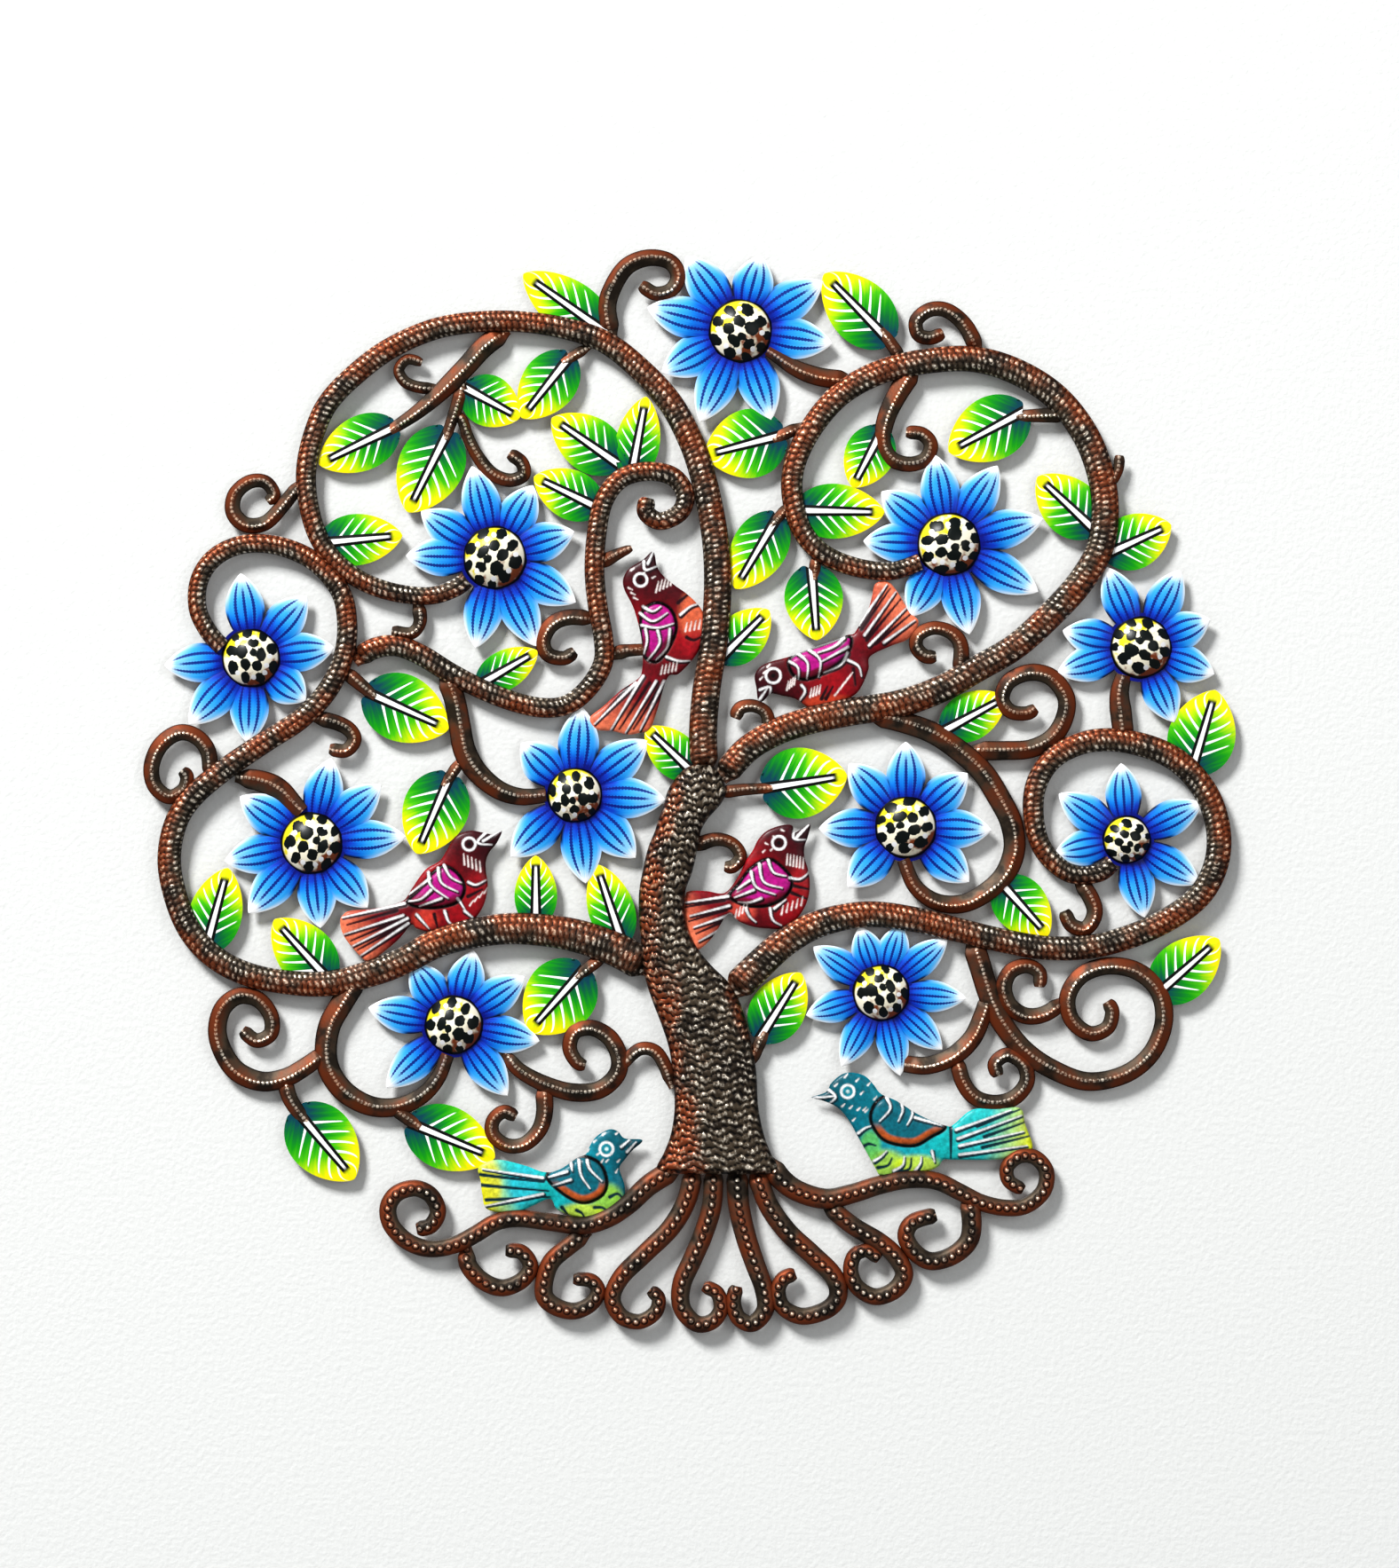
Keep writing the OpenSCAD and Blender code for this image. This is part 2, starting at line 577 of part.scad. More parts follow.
module leaves_crown_left() {
    leaves([
        [[-50, 266], [-95, 298], 30], [[-169, 211], [-210, 191], 31],
        [[-138, 208], [-160, 164], 37], [[-126, 233], [-97, 217], 29],
        [[-70, 250], [-96, 217], 31]
    ]);
}
module leaves_inner_left() {
    leaves([
        [[-43, 192], [-79, 217], 31], [[-34, 186], [-26, 229], 25], [[-54, 167], [-89, 184], 28],
        [[-206, 147], [-163, 151], 29], [[-118, 68], [-87, 86], 22], [[-181, 62], [-137, 42], 38],
        [[-137, 14], [-155, -28], 37]
    ]);
}
module leaves_low_left() {
    leaves([
        [[-273, -80], [-261, -36], 30], [[-205, -98], [-235, -65], 32],
        [[-88, -66], [-88, -29], 24], [[-40, -76], [-54, -34], 26], [[-62, -94], [-92, -128], 40]
    ]);
}
module leaves_crown_right() {
    leaves([
        [[109, 262], [74, 298], 35], [[49, 207], [7, 196], 39], [[47, 160], [24, 121], 31],
        [[106, 209], [90, 178], 28], [[61, 165], [108, 164], 31], [[185, 220], [144, 198], 36],
        [[225, 155], [194, 184], 32], [[234, 141], [269, 157], 31], [[67, 131], [70, 92], 33]
    ]);
}
module leaves_low_right() {
    leaves([
        [[17, 83], [43, 109], 27], [[0, 18], [-26, 43], 25], [[42, 9], [87, 16], 40],
        [[143, 42], [176, 60], 27], [[281, 20], [294, 64], 38], [[174, -45], [200, -74], 30],
        [[39, -130], [61, -95], 31]
    ]);
}
module leaves_lower_scrolls() {
    leaves([
        [[262, -106], [296, -76], 33], [[-221, -174], [-190, -211], 38], [[-157, -180], [-111, -199], 36]
    ]);
}

// ---------- birds ----------

// A bird: plate pieces, raised body and wing boss [x, z, radius]
module bird(tint, body, beak, tail, wing) {
    middle = [for (c = [0, 1]) let (all = [for (p = body) p[c]]) (min(all) + max(all)) / 2];
    shrink = 0.72;
    ball = (wing[2] * wing[2] + wing_rise * wing_rise) / (2 * wing_rise);
    color(tint) {
        stand(sheet_t) {
            polygon(k * outline(body, 3));
            polygon(k * beak);
            polygon(k * tail);
        }
        translate([0, -sheet_t, 0]) stand(bird_rise - sheet_t)
            polygon(k * outline([for (p = body) middle + shrink * (p - middle)], 3));
        translate([k * wing[0], -bird_rise, k * wing[1]]) rotate([90, 0, 0])
            intersection() {
                translate([0, 0, wing_rise - ball]) sphere(ball);
                cylinder(r = wing[2], h = wing_rise + 1);
            }
    }
}

module bird_1() {
    bird("firebrick",
        [[-28, 136], [-20, 132], [-8, 121], [5, 110], [8, 98], [2, 83], [-8, 73], [-22, 73],
            [-28, 84], [-29, 98], [-34, 110], [-39, 124], [-36, 133]],
        [[-30, 134], [-22, 143], [-18, 130]],
        [[-14, 73], [-24, 43], [-34, 39], [-46, 40], [-57, 48], [-57, 52], [-42, 62], [-26, 76]],
        [-20, 103, 11]);
}
module bird_2() {
    bird("firebrick",
        [[36, 72], [43, 80], [58, 84], [76, 90], [90, 96], [98, 90], [99, 78], [92, 64],
            [78, 55], [65, 56], [54, 61], [44, 62], [37, 65]],
        [[37, 67], [38, 58], [46, 62]],
        [[88, 94], [98, 109], [103, 124], [110, 125], [118, 116], [127, 103], [122, 95], [100, 82]],
        [70, 80, 10]);
}
module bird_3() {
    bird("firebrick",
        [[-128, -15], [-138, -24], [-144, -34], [-156, -46], [-161, -56], [-156, -68],
            [-143, -73], [-127, -68], [-117, -57], [-116, -42], [-116, -30], [-113, -21],
            [-118, -15]],
        [[-118, -15], [-107, -15], [-114, -24]],
        [[-156, -56], [-178, -59], [-196, -61], [-198, -68], [-192, -80], [-184, -88],
            [-172, -80], [-156, -66]],
        [-140, -46, 11]);
}
module bird_4() {
    bird("firebrick",
        [[54, -12], [44, -13], [37, -20], [33, -31], [24, -45], [20, -58], [28, -69],
            [44, -71], [58, -67], [65, -54], [65, -38], [63, -24], [62, -16]],
        [[56, -12], [67, -10], [63, -20]],
        [[24, -49], [8, -49], [-2, -49], [-4, -56], [-3, -68], [0, -82], [8, -80], [24, -66]],
        [41, -44, 12]);
}
module bird_5() {
    bird("teal",
        [[86, -152], [96, -152], [104, -159], [118, -166], [134, -176], [144, -184],
            [143, -200], [128, -209], [109, -211], [100, -202], [93, -188], [84, -176],
            [76, -166], [78, -157]],
        [[80, -158], [67, -165], [80, -170]],
        [[143, -182], [160, -174], [183, -171], [187, -182], [191, -194], [178, -200],
            [160, -202], [143, -198]],
        [119, -180, 13]);
}
module bird_6() {
    bird("teal",
        [[-47, -183], [-39, -187], [-37, -196], [-41, -205], [-38, -217], [-41, -229],
            [-54, -236], [-70, -233], [-82, -224], [-84, -210], [-70, -202], [-60, -196],
            [-55, -187]],
        [[-40, -188], [-28, -189], [-37, -196]],
        [[-80, -208], [-98, -203], [-112, -200], [-119, -206], [-119, -218], [-114, -228],
            [-98, -230], [-80, -222]],
        [-64, -211, 11]);
}

// ---------- the pieces ----------

trunk();
limb_low_left();
limb_crown_left();
limb_inner_left();
limb_crown_right();
limb_low_right();
root_far_left();
root_left_fork();
root_left_curl();
root_left();
root_mid_left();
root_mid_right();
root_right();
root_far_right();
root_right_fork();
root_right_curl();
vines_crown_left();
vines_inner_left();
vines_low_left();
scroll_left();
scroll_centre_left();
vines_crown_right();
scroll_right_upper();
scroll_right_lower();
scroll_right_inner();
twigs_trunk();
for (i = [0 : len(FLOWERS) - 1])
    petals(i);
for (i = [0 : len(FLOWERS) - 1])
    dome(i);
bird_1();
bird_2();
bird_3();
bird_4();
bird_5();
bird_6();
leaves_crown_left();
leaves_inner_left();
leaves_low_left();
leaves_crown_right();
leaves_low_right();
leaves_lower_scrolls();
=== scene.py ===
"""Tree of life wall piece: hammered sheet steel with a copper patina and hand-painted flowers,
leaves and birds. Places and lengths in the tables are millimetres on the wall plane, x and z."""
import math

import bmesh
import bpy
import numpy as np
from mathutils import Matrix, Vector
from mathutils.geometry import delaunay_2d_cdt


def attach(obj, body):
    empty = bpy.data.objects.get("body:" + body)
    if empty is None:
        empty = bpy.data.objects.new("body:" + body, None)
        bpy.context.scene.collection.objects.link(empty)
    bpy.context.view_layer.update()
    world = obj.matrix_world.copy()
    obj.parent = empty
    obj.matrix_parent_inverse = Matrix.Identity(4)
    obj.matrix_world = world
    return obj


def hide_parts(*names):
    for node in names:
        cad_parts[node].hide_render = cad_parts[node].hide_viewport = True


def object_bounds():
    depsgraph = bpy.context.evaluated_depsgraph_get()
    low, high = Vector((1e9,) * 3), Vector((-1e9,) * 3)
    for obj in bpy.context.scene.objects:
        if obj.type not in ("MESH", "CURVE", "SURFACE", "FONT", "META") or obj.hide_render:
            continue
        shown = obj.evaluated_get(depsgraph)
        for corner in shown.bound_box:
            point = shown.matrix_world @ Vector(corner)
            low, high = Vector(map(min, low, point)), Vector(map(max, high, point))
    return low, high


bl_info = {
    "name": "Tree of Life Wall Piece",
    "version": (1, 0, 0),
    "blender": (4, 5, 0),
    "location": "View3D > Sidebar > Tree of Life",
    "description": "Builds a hammered and painted sheet-steel tree of life",
    "category": "Add Mesh",
}

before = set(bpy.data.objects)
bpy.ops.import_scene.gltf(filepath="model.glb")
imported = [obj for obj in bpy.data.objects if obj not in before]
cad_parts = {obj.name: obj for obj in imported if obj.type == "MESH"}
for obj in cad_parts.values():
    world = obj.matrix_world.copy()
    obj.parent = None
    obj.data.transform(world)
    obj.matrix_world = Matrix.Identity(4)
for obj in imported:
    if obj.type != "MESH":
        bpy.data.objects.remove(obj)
CAD_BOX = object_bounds()
MM = 0.001

# Width the tables below are drawn at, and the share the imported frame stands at
DRAWN_WIDTH = 612.8
SHARE = (CAD_BOX[1].x - CAD_BOX[0].x) / MM / DRAWN_WIDTH

# Where a strip ends: in a flat tab under its neighbour, square against a dome, or at a free tip
TAB, BUTT, TIP = "tab", "butt", "tip"

# Flowers: middle x and z, dome radius, petal width share, and each petal's [angle, reach]
FLOWERS = [
    (27, 266, 18.5, 1.05, [(126, 52), (75, 44), (31, 54), (-8, 52), (-71, 53), (-114, 56),
                           (-152, 50), (166, 54)]),
    (-248, 82, 17, 1, [(97, 48), (48, 47), (7, 47), (-38, 39), (-92, 48), (-133, 51), (-175, 49)]),
    (-111, 138.5, 18.5, 1, [(104, 53), (62, 46), (18, 47), (-29, 52), (-65, 55), (-102, 52),
                            (179, 50), (148, 49)]),
    (144, 146, 18.5, 1, [(99, 51), (58, 52), (15, 55), (-28, 57), (-77, 52), (-118, 46),
                         (178, 48), (142, 48)]),
    (252, 88, 18, 0.95, [(113, 49), (63, 49), (22, 42), (-20, 44), (-66, 46), (-163, 49),
                         (168, 45)]),
    (-66, 5, 16, 1.05, [(86, 50), (37, 51), (-3, 51), (-46, 49), (-83, 50), (-136, 50), (136, 42)]),
    (-214, -22, 18, 1, [(77, 49), (40, 51), (4, 53), (-49, 48), (-84, 48), (-132, 53),
                        (-168, 50), (147, 48)]),
    (120, -13, 18, 1, [(90, 48), (41, 46), (-2, 48), (-41, 47), (-134, 47), (-179, 49),
                       (132, 48)]),
    (244, -20, 14, 0.92, [(94, 43), (26, 47), (-31, 48), (-77, 45), (-169, 41), (146, 46)]),
    (106, -106, 16.5, 0.82, [(108, 39), (74, 40), (39, 48), (-4, 48), (-43, 47), (-77, 48),
                             (-118, 47), (-163, 44), (146, 46)]),
    (-134, -124, 17, 0.95, [(75, 43), (124, 42), (169, 49), (-137, 52), (-53, 50), (-11, 49),
                            (34, 48)]),
]

# Leaves by group: base, tip and greatest width
LEAVES = {
    "leaves_crown_left": [
        ((-50, 266), (-95, 298), 30), ((-169, 211), (-210, 191), 31), ((-138, 208), (-160, 164), 37),
        ((-126, 233), (-97, 217), 29), ((-70, 250), (-96, 217), 31)],
    "leaves_inner_left": [
        ((-43, 192), (-79, 217), 31), ((-34, 186), (-26, 229), 25), ((-54, 167), (-89, 184), 28),
        ((-206, 147), (-163, 151), 29), ((-118, 68), (-87, 86), 22), ((-181, 62), (-137, 42), 38),
        ((-137, 14), (-155, -28), 37)],
    "leaves_low_left": [
        ((-273, -80), (-261, -36), 30), ((-205, -98), (-235, -65), 32), ((-88, -66), (-88, -29), 24),
        ((-40, -76), (-54, -34), 26), ((-62, -94), (-92, -128), 40)],
    "leaves_crown_right": [
        ((109, 262), (74, 298), 35), ((49, 207), (7, 196), 39), ((47, 160), (24, 121), 31),
        ((106, 209), (90, 178), 28), ((61, 165), (108, 164), 31), ((185, 220), (144, 198), 36),
        ((225, 155), (194, 184), 32), ((234, 141), (269, 157), 31), ((67, 131), (70, 92), 33)],
    "leaves_low_right": [
        ((17, 83), (43, 109), 27), ((0, 18), (-26, 43), 25), ((42, 9), (87, 16), 40),
        ((143, 42), (176, 60), 27), ((281, 20), (294, 64), 38), ((174, -45), (200, -74), 30),
        ((39, -130), (61, -95), 31)],
    "leaves_lower_scrolls": [
        ((262, -106), (296, -76), 33), ((-221, -174), (-190, -211), 38),
        ((-157, -180), (-111, -199), 36)],
}

# Trunk's left and right edges at each height: z, left, right
TRUNK = [
    (22, 1, 10), (20, -4, 13), (14, -10, 17), (7, -14, 19), (0, -16, 16), (-8, -19, 9),
    (-15, -21, 5), (-25, -25, 3), (-38, -28, 0), (-50, -30, -4), (-65, -30, -4), (-78, -29, 1),
    (-90, -28, 10), (-100, -26, 20), (-112, -22, 27), (-125, -17, 31), (-138, -13, 34),
    (-152, -11, 36), (-170, -10, 37), (-185, -12, 40), (-196, -16, 44), (-204, -20, 48),
    (-208, -17, 46),
]

# Limbs, roots and vines: points along the middle, width shares, how it ends, and where it meets
# a flower its number and the angle round its dome
LIMBS = {
    "limb_low_left": [
        ([(-24, -92), (-45, -81), (-70, -73), (-100, -70), (-125, -73), (-145, -79), (-162, -88),
          (-180, -95), (-205, -101), (-230, -100), (-252, -95), (-270, -85), (-283, -70), (-291, -50),
          (-294, -30), (-290, -10), (-280, 5), (-262, 20), (-240, 35), (-220, 48), (-205, 64),
          (-196, 83), (-194, 102), (-198, 120), (-212, 136), (-232, 145), (-252, 146), (-268, 139),
          (-277, 126), (-278, 110), (-272, 97), (-264, 88)],
         [1, 0.85, 0.68, 0.66, 0.6, 0.55, 0.5], BUTT),
    ],
    "limb_crown_left": [
        ([(7, 18), (6, 40), (8, 65), (12, 90), (14, 115), (14, 135), (12, 155), (7, 180), (0, 202),
          (-12, 225), (-28, 243), (-48, 259), (-70, 267), (-95, 271), (-120, 271), (-145, 267),
          (-170, 256), (-190, 241), (-205, 225), (-213, 207), (-217, 188), (-216, 170), (-211, 152),
          (-202, 138), (-187, 126), (-168, 119), (-148, 117), (-134, 121), (-127, 126)],
         [0.8, 0.78, 0.7, 0.6, 0.62, 0.55, 0.5], BUTT),
    ],
    "limb_inner_left": [
        ([(-190, 80), (-180, 87), (-167, 89), (-153, 84), (-135, 73), (-115, 63), (-95, 56), (-80, 54),
          (-68, 57), (-57, 67), (-50, 80), (-50, 93), (-53, 110), (-55, 130), (-54, 150), (-50, 170),
          (-40, 183), (-25, 187), (-11, 184), (-4, 174), (-7, 164), (-18, 159), (-26, 164), (-25, 172)],
         [0.62, 0.58, 0.56, 0.56, 0.55, 0.5], TIP),
    ],
    "limb_crown_right": [
        ([(16, 14), (30, 30), (46, 40), (66, 47), (90, 52), (115, 56), (138, 64), (160, 76), (182, 89),
          (203, 108), (219, 126), (229, 144), (232, 165), (229, 187), (220, 209), (204, 229),
          (182, 243), (158, 250), (132, 249), (106, 243), (84, 231), (68, 213), (58, 193), (56, 175),
          (61, 155), (73, 141), (92, 133), (112, 131), (128, 136)],
         [0.75, 0.8, 0.75, 0.78, 0.75, 0.7, 0.6, 0.5], BUTT),
    ],
    "limb_low_right": [
        ([(22, -106), (38, -90), (53, -77), (72, -67), (98, -62), (125, -65), (150, -71), (175, -77),
          (200, -81), (225, -80), (250, -73), (272, -62), (287, -49), (295, -31), (295, -11), (287, 9),
          (270, 26), (245, 35), (222, 35), (203, 26), (193, 10), (192, -10), (198, -27), (212, -39),
          (228, -39), (236, -33)], [0.9, 0.75, 0.68, 0.68, 0.7, 0.68, 0.6, 0.5], BUTT),
    ],
}

ROOTS = {
    "root_far_left": [
        ([(-8, -204), (-24, -214), (-36, -225), (-48, -233), (-62, -237), (-80, -235), (-97, -233),
          (-110, -235), (-122, -242), (-134, -248), (-148, -250), (-160, -246), (-169, -237),
          (-171, -227), (-166, -219), (-156, -216), (-147, -220), (-143, -229), (-147, -237),
          (-155, -239)], [1, 0.8, 0.75, 0.75, 0.7], TIP),
    ],
    "root_left_fork": [
        ([(-127, -248), (-126, -259), (-118, -268), (-107, -272), (-96, -268), (-91, -260), (-96, -252),
          (-105, -251)], [0.8, 0.75, 0.65], TIP),
    ],
    "root_left_curl": [
        ([(-58, -240), (-70, -249), (-79, -257), (-83, -267), (-83, -277), (-76, -283), (-66, -285),
          (-57, -281), (-53, -274), (-57, -268), (-67, -267)], [0.8, 0.8, 0.6], TIP),
    ],
    "root_left": [
        ([(1, -204), (-3, -222), (-12, -238), (-27, -253), (-40, -266), (-45, -278), (-40, -288),
          (-30, -291), (-21, -286), (-19, -278), (-24, -273)], [0.9, 0.8, 0.6], TIP),
    ],
    "root_mid_left": [
        ([(12, -204), (11, -225), (6, -242), (0, -256), (-6, -270), (-6, -283), (2, -292), (11, -291),
          (16, -284), (14, -275), (6, -271)], [0.9, 0.85, 0.6], TIP),
    ],
    "root_mid_right": [
        ([(25, -204), (26, -225), (30, -243), (35, -258), (40, -272), (41, -284), (34, -292),
          (26, -289), (23, -280), (25, -271)], [1, 0.85, 0.65], TIP),
    ],
    "root_right": [
        ([(35, -204), (42, -224), (53, -240), (67, -253), (79, -265), (82, -276), (76, -284),
          (62, -288), (51, -283), (48, -274), (51, -267), (58, -264)], [0.9, 0.85, 0.65], TIP),
    ],
    "root_far_right": [
        ([(42, -200), (50, -211), (60, -218), (75, -222), (90, -219), (106, -214), (122, -211),
          (137, -212), (150, -218), (162, -224), (175, -227), (187, -226), (197, -218), (199, -207),
          (193, -199), (184, -198), (177, -204), (178, -212), (186, -217)],
         [1, 0.85, 0.75, 0.7, 0.6], TIP),
    ],
    "root_right_fork": [
        ([(74, -224), (90, -237), (105, -246), (114, -254), (119, -264), (114, -273), (103, -277),
          (93, -272), (89, -263), (91, -254), (98, -251), (105, -256)], [0.8, 0.8, 0.6], TIP),
    ],
    "root_right_curl": [
        ([(155, -219), (157, -235), (155, -246), (146, -254), (134, -257), (125, -252), (120, -243),
          (124, -235), (137, -231)], [0.9, 0.8, 0.7], TIP),
    ],
}

VINES = {
    "vines_crown_left": [
        ([(-45, 262), (-48, 278), (-45, 290), (-37, 302), (-25, 307), (-13, 305), (-8, 297), (-12, 289),
          (-21, 287), (-29, 292)], [0.85, 0.75, 0.6], TIP),
        ([(-219, 182), (-230, 168), (-240, 158), (-251, 157), (-258, 164), (-257, 174), (-249, 181),
          (-240, 181), (-235, 174), (-239, 170)], [0.6, 0.7, 0.55], TIP),
        ([(-142, 234), (-152, 234), (-161, 237), (-165, 244), (-160, 250), (-152, 248)],
         [0.55, 0.5, 0.45], TIP),
        ([(-104, 267), (-117, 257), (-128, 245), (-141, 232), (-155, 220), (-170, 210)],
         [0.95, 0.85, 0.5], TAB),
        ([(-129, 237), (-133, 222), (-139, 205)], [0.6, 0.55, 0.45], TAB),
        ([(-134, 222), (-129, 215), (-126, 206), (-121, 196), (-113, 186), (-103, 182), (-95, 185),
          (-96, 192), (-103, 197)], [0.45, 0.6, 0.6], TIP),
        ([(-57, 258), (-73, 248)], [0.5, 0.45], TAB),
        ([(-155, 115), (-153, 103), (-158, 96), (-169, 97)], [0.7, 0.55, 0.6], TIP),
    ],
    "vines_inner_left": [
        ([(-140, 74), (-134, 60), (-131, 45), (-128, 30), (-121, 18), (-109, 8), (-96, 4)],
         [0.9, 1, 0.65], BUTT, (5, 180)),
        ([(-129, 26), (-140, 10)], [0.55, 0.45], TAB),
        ([(-54, 104), (-69, 105), (-79, 101), (-84, 92), (-81, 84), (-72, 82), (-66, 86)],
         [0.7, 0.7, 0.6], TIP),
        ([(-47, 83), (-38, 86), (-24, 87)], [0.8, 0.55, 0.5], TAB),
        ([(-54, 134), (-43, 140), (-34, 144)], [0.75, 0.35], TIP),
    ],
    "vines_low_left": [
        ([(-214, 49), (-201, 46), (-193, 42), (-190, 36), (-195, 30), (-204, 31)],
         [0.7, 0.65, 0.6], TIP),
        ([(-271, 13), (-272, 29), (-279, 38), (-289, 40), (-299, 33), (-304, 21), (-302, 10), (-294, 4),
          (-286, 8), (-284, 15), (-287, 19)], [0.7, 0.72, 0.6], TIP),
        ([(-257, 15), (-243, 13), (-232, 8), (-224, 0)], [0.8, 1, 0.75], BUTT, (6, 107)),
        ([(-197, 76), (-178, 60)], [0.7, 0.5], TAB),
        ([(-48, -84), (-66, -98)], [0.6, 0.5], TAB),
    ],
    "scroll_left": [
        ([(-187, -96), (-197, -112), (-204, -125), (-206, -140), (-203, -152), (-194, -163),
          (-180, -170), (-165, -170), (-152, -164), (-143, -154)], [1, 0.95, 0.6], BUTT, (10, -102)),
        ([(-204, -138), (-218, -148), (-229, -154), (-242, -156), (-255, -151), (-263, -141),
          (-267, -128), (-264, -115), (-255, -108), (-244, -110), (-237, -119), (-237, -129),
          (-245, -133), (-253, -127)], [0.75, 0.9, 0.75, 0.62], TIP),
        ([(-230, -152), (-226, -166), (-217, -179)], [0.75, 0.6], TAB),
        ([(-171, -169), (-153, -182)], [0.6, 0.55], TAB),
    ],
    "scroll_centre_left": [
        ([(-106, -139), (-98, -149), (-84, -157), (-68, -162), (-53, -161), (-43, -153), (-41, -143),
          (-46, -132), (-56, -126), (-66, -128), (-69, -137), (-65, -145), (-60, -147)],
         [0.6, 0.8, 0.75, 0.6], TIP),
        ([(-84, -157), (-83, -172), (-86, -183), (-94, -191), (-104, -192), (-112, -186), (-112, -178),
          (-106, -173), (-99, -176)], [0.8, 0.65, 0.6], TIP),
    ],
    "vines_crown_right": [
        ([(63, 213), (45, 205)], [0.6, 0.5], TAB),
        ([(90, 238), (72, 240), (58, 245), (47, 252)], [0.85, 0.8, 0.5], BUTT, (0, -36)),
        ([(161, 253), (154, 268), (144, 277), (134, 278), (126, 272), (127, 264), (134, 262),
          (141, 265)], [0.75, 0.65, 0.6], TIP),
        ([(119, 248), (106, 267)], [0.6, 0.5], TAB),
        ([(125, 246), (115, 230), (109, 217), (107, 204), (112, 194), (122, 191), (131, 194),
          (134, 202), (129, 208), (120, 209)], [1, 0.7, 0.6], TIP),
        ([(212, 219), (182, 218)], [0.75, 0.5], TAB),
        ([(233, 176), (239, 187), (240, 196)], [0.4, 0.5], TIP),
        ([(56, 170), (44, 156)], [0.5, 0.45], TAB),
        ([(70, 142), (68, 126)], [0.55, 0.5], TAB),
        ([(150, 71), (151, 88), (146, 96), (136, 99), (127, 95), (126, 88), (131, 83), (137, 83)],
         [0.75, 0.6, 0.62], TIP),
        ([(43, 36), (42, 50), (35, 55), (27, 54), (24, 48)], [0.65, 0.55, 0.62], TIP),
    ],
    "scroll_right_upper": [
        ([(100, 50), (118, 46), (135, 40), (150, 30), (163, 18), (172, 4), (179, -10), (181, -25),
          (176, -39), (166, -49), (152, -56), (137, -55), (125, -46)],
         [0.9, 0.95, 1, 0.95, 0.8, 0.6], BUTT, (7, -94)),
        ([(157, 30), (175, 30), (190, 31), (202, 37), (209, 48), (210, 60), (202, 71), (190, 74),
          (178, 69), (174, 59), (179, 52), (188, 51), (193, 54)], [0.85, 0.8, 0.75, 0.6], TIP),
    ],
    "scroll_right_lower": [
        ([(157, -76), (162, -92), (167, -108), (174, -123), (186, -138), (202, -149), (222, -156),
          (243, -152), (258, -140), (265, -122), (262, -105), (250, -94), (234, -91), (219, -96),
          (211, -108), (213, -121), (223, -129), (233, -126), (236, -117), (233, -111)],
         [1, 0.9, 0.8, 0.8, 0.75, 0.62], TIP),
        ([(210, -110), (198, -118), (187, -119), (178, -113), (175, -103), (179, -94), (188, -91),
          (195, -95), (195, -103)], [0.7, 0.75, 0.6], TIP),
        ([(243, 34), (241, 50), (240, 62)], [0.9, 0.95, 0.7], BUTT, (4, -122)),
        ([(216, -41), (224, -53), (226, -62), (221, -70), (213, -68), (209, -60)],
         [0.75, 0.7, 0.62], TIP),
    ],
    "scroll_right_inner": [
        ([(167, -106), (163, -119), (157, -132), (146, -142), (132, -147), (119, -146)],
         [0.75, 0.85, 0.75], TAB),
        ([(148, -141), (152, -156), (159, -165), (170, -168), (181, -165), (188, -156), (186, -146),
          (177, -141), (170, -146), (172, -153)], [0.7, 0.7, 0.62], TIP),
    ],
    "twigs_trunk": [
        ([(-1, -25), (12, -20), (22, -22), (27, -29), (23, -35), (18, -35)], [0.7, 0.55, 0.6], TIP),
        ([(13, 6), (28, 8), (45, 9)], [0.6, 0.45], TAB),
        ([(31, -148), (41, -128)], [0.65, 0.5], TAB),
        ([(-11, -160), (-15, -148), (-21, -139), (-30, -138), (-39, -146)], [0.6, 0.6, 0.55], TAB),
    ],
}
# Strips that start under the wall layer's plates instead of on them
LOW_STARTS = ("limb_inner_left", "root_left_fork", "root_left_curl", "root_right_fork",
              "root_right_curl")
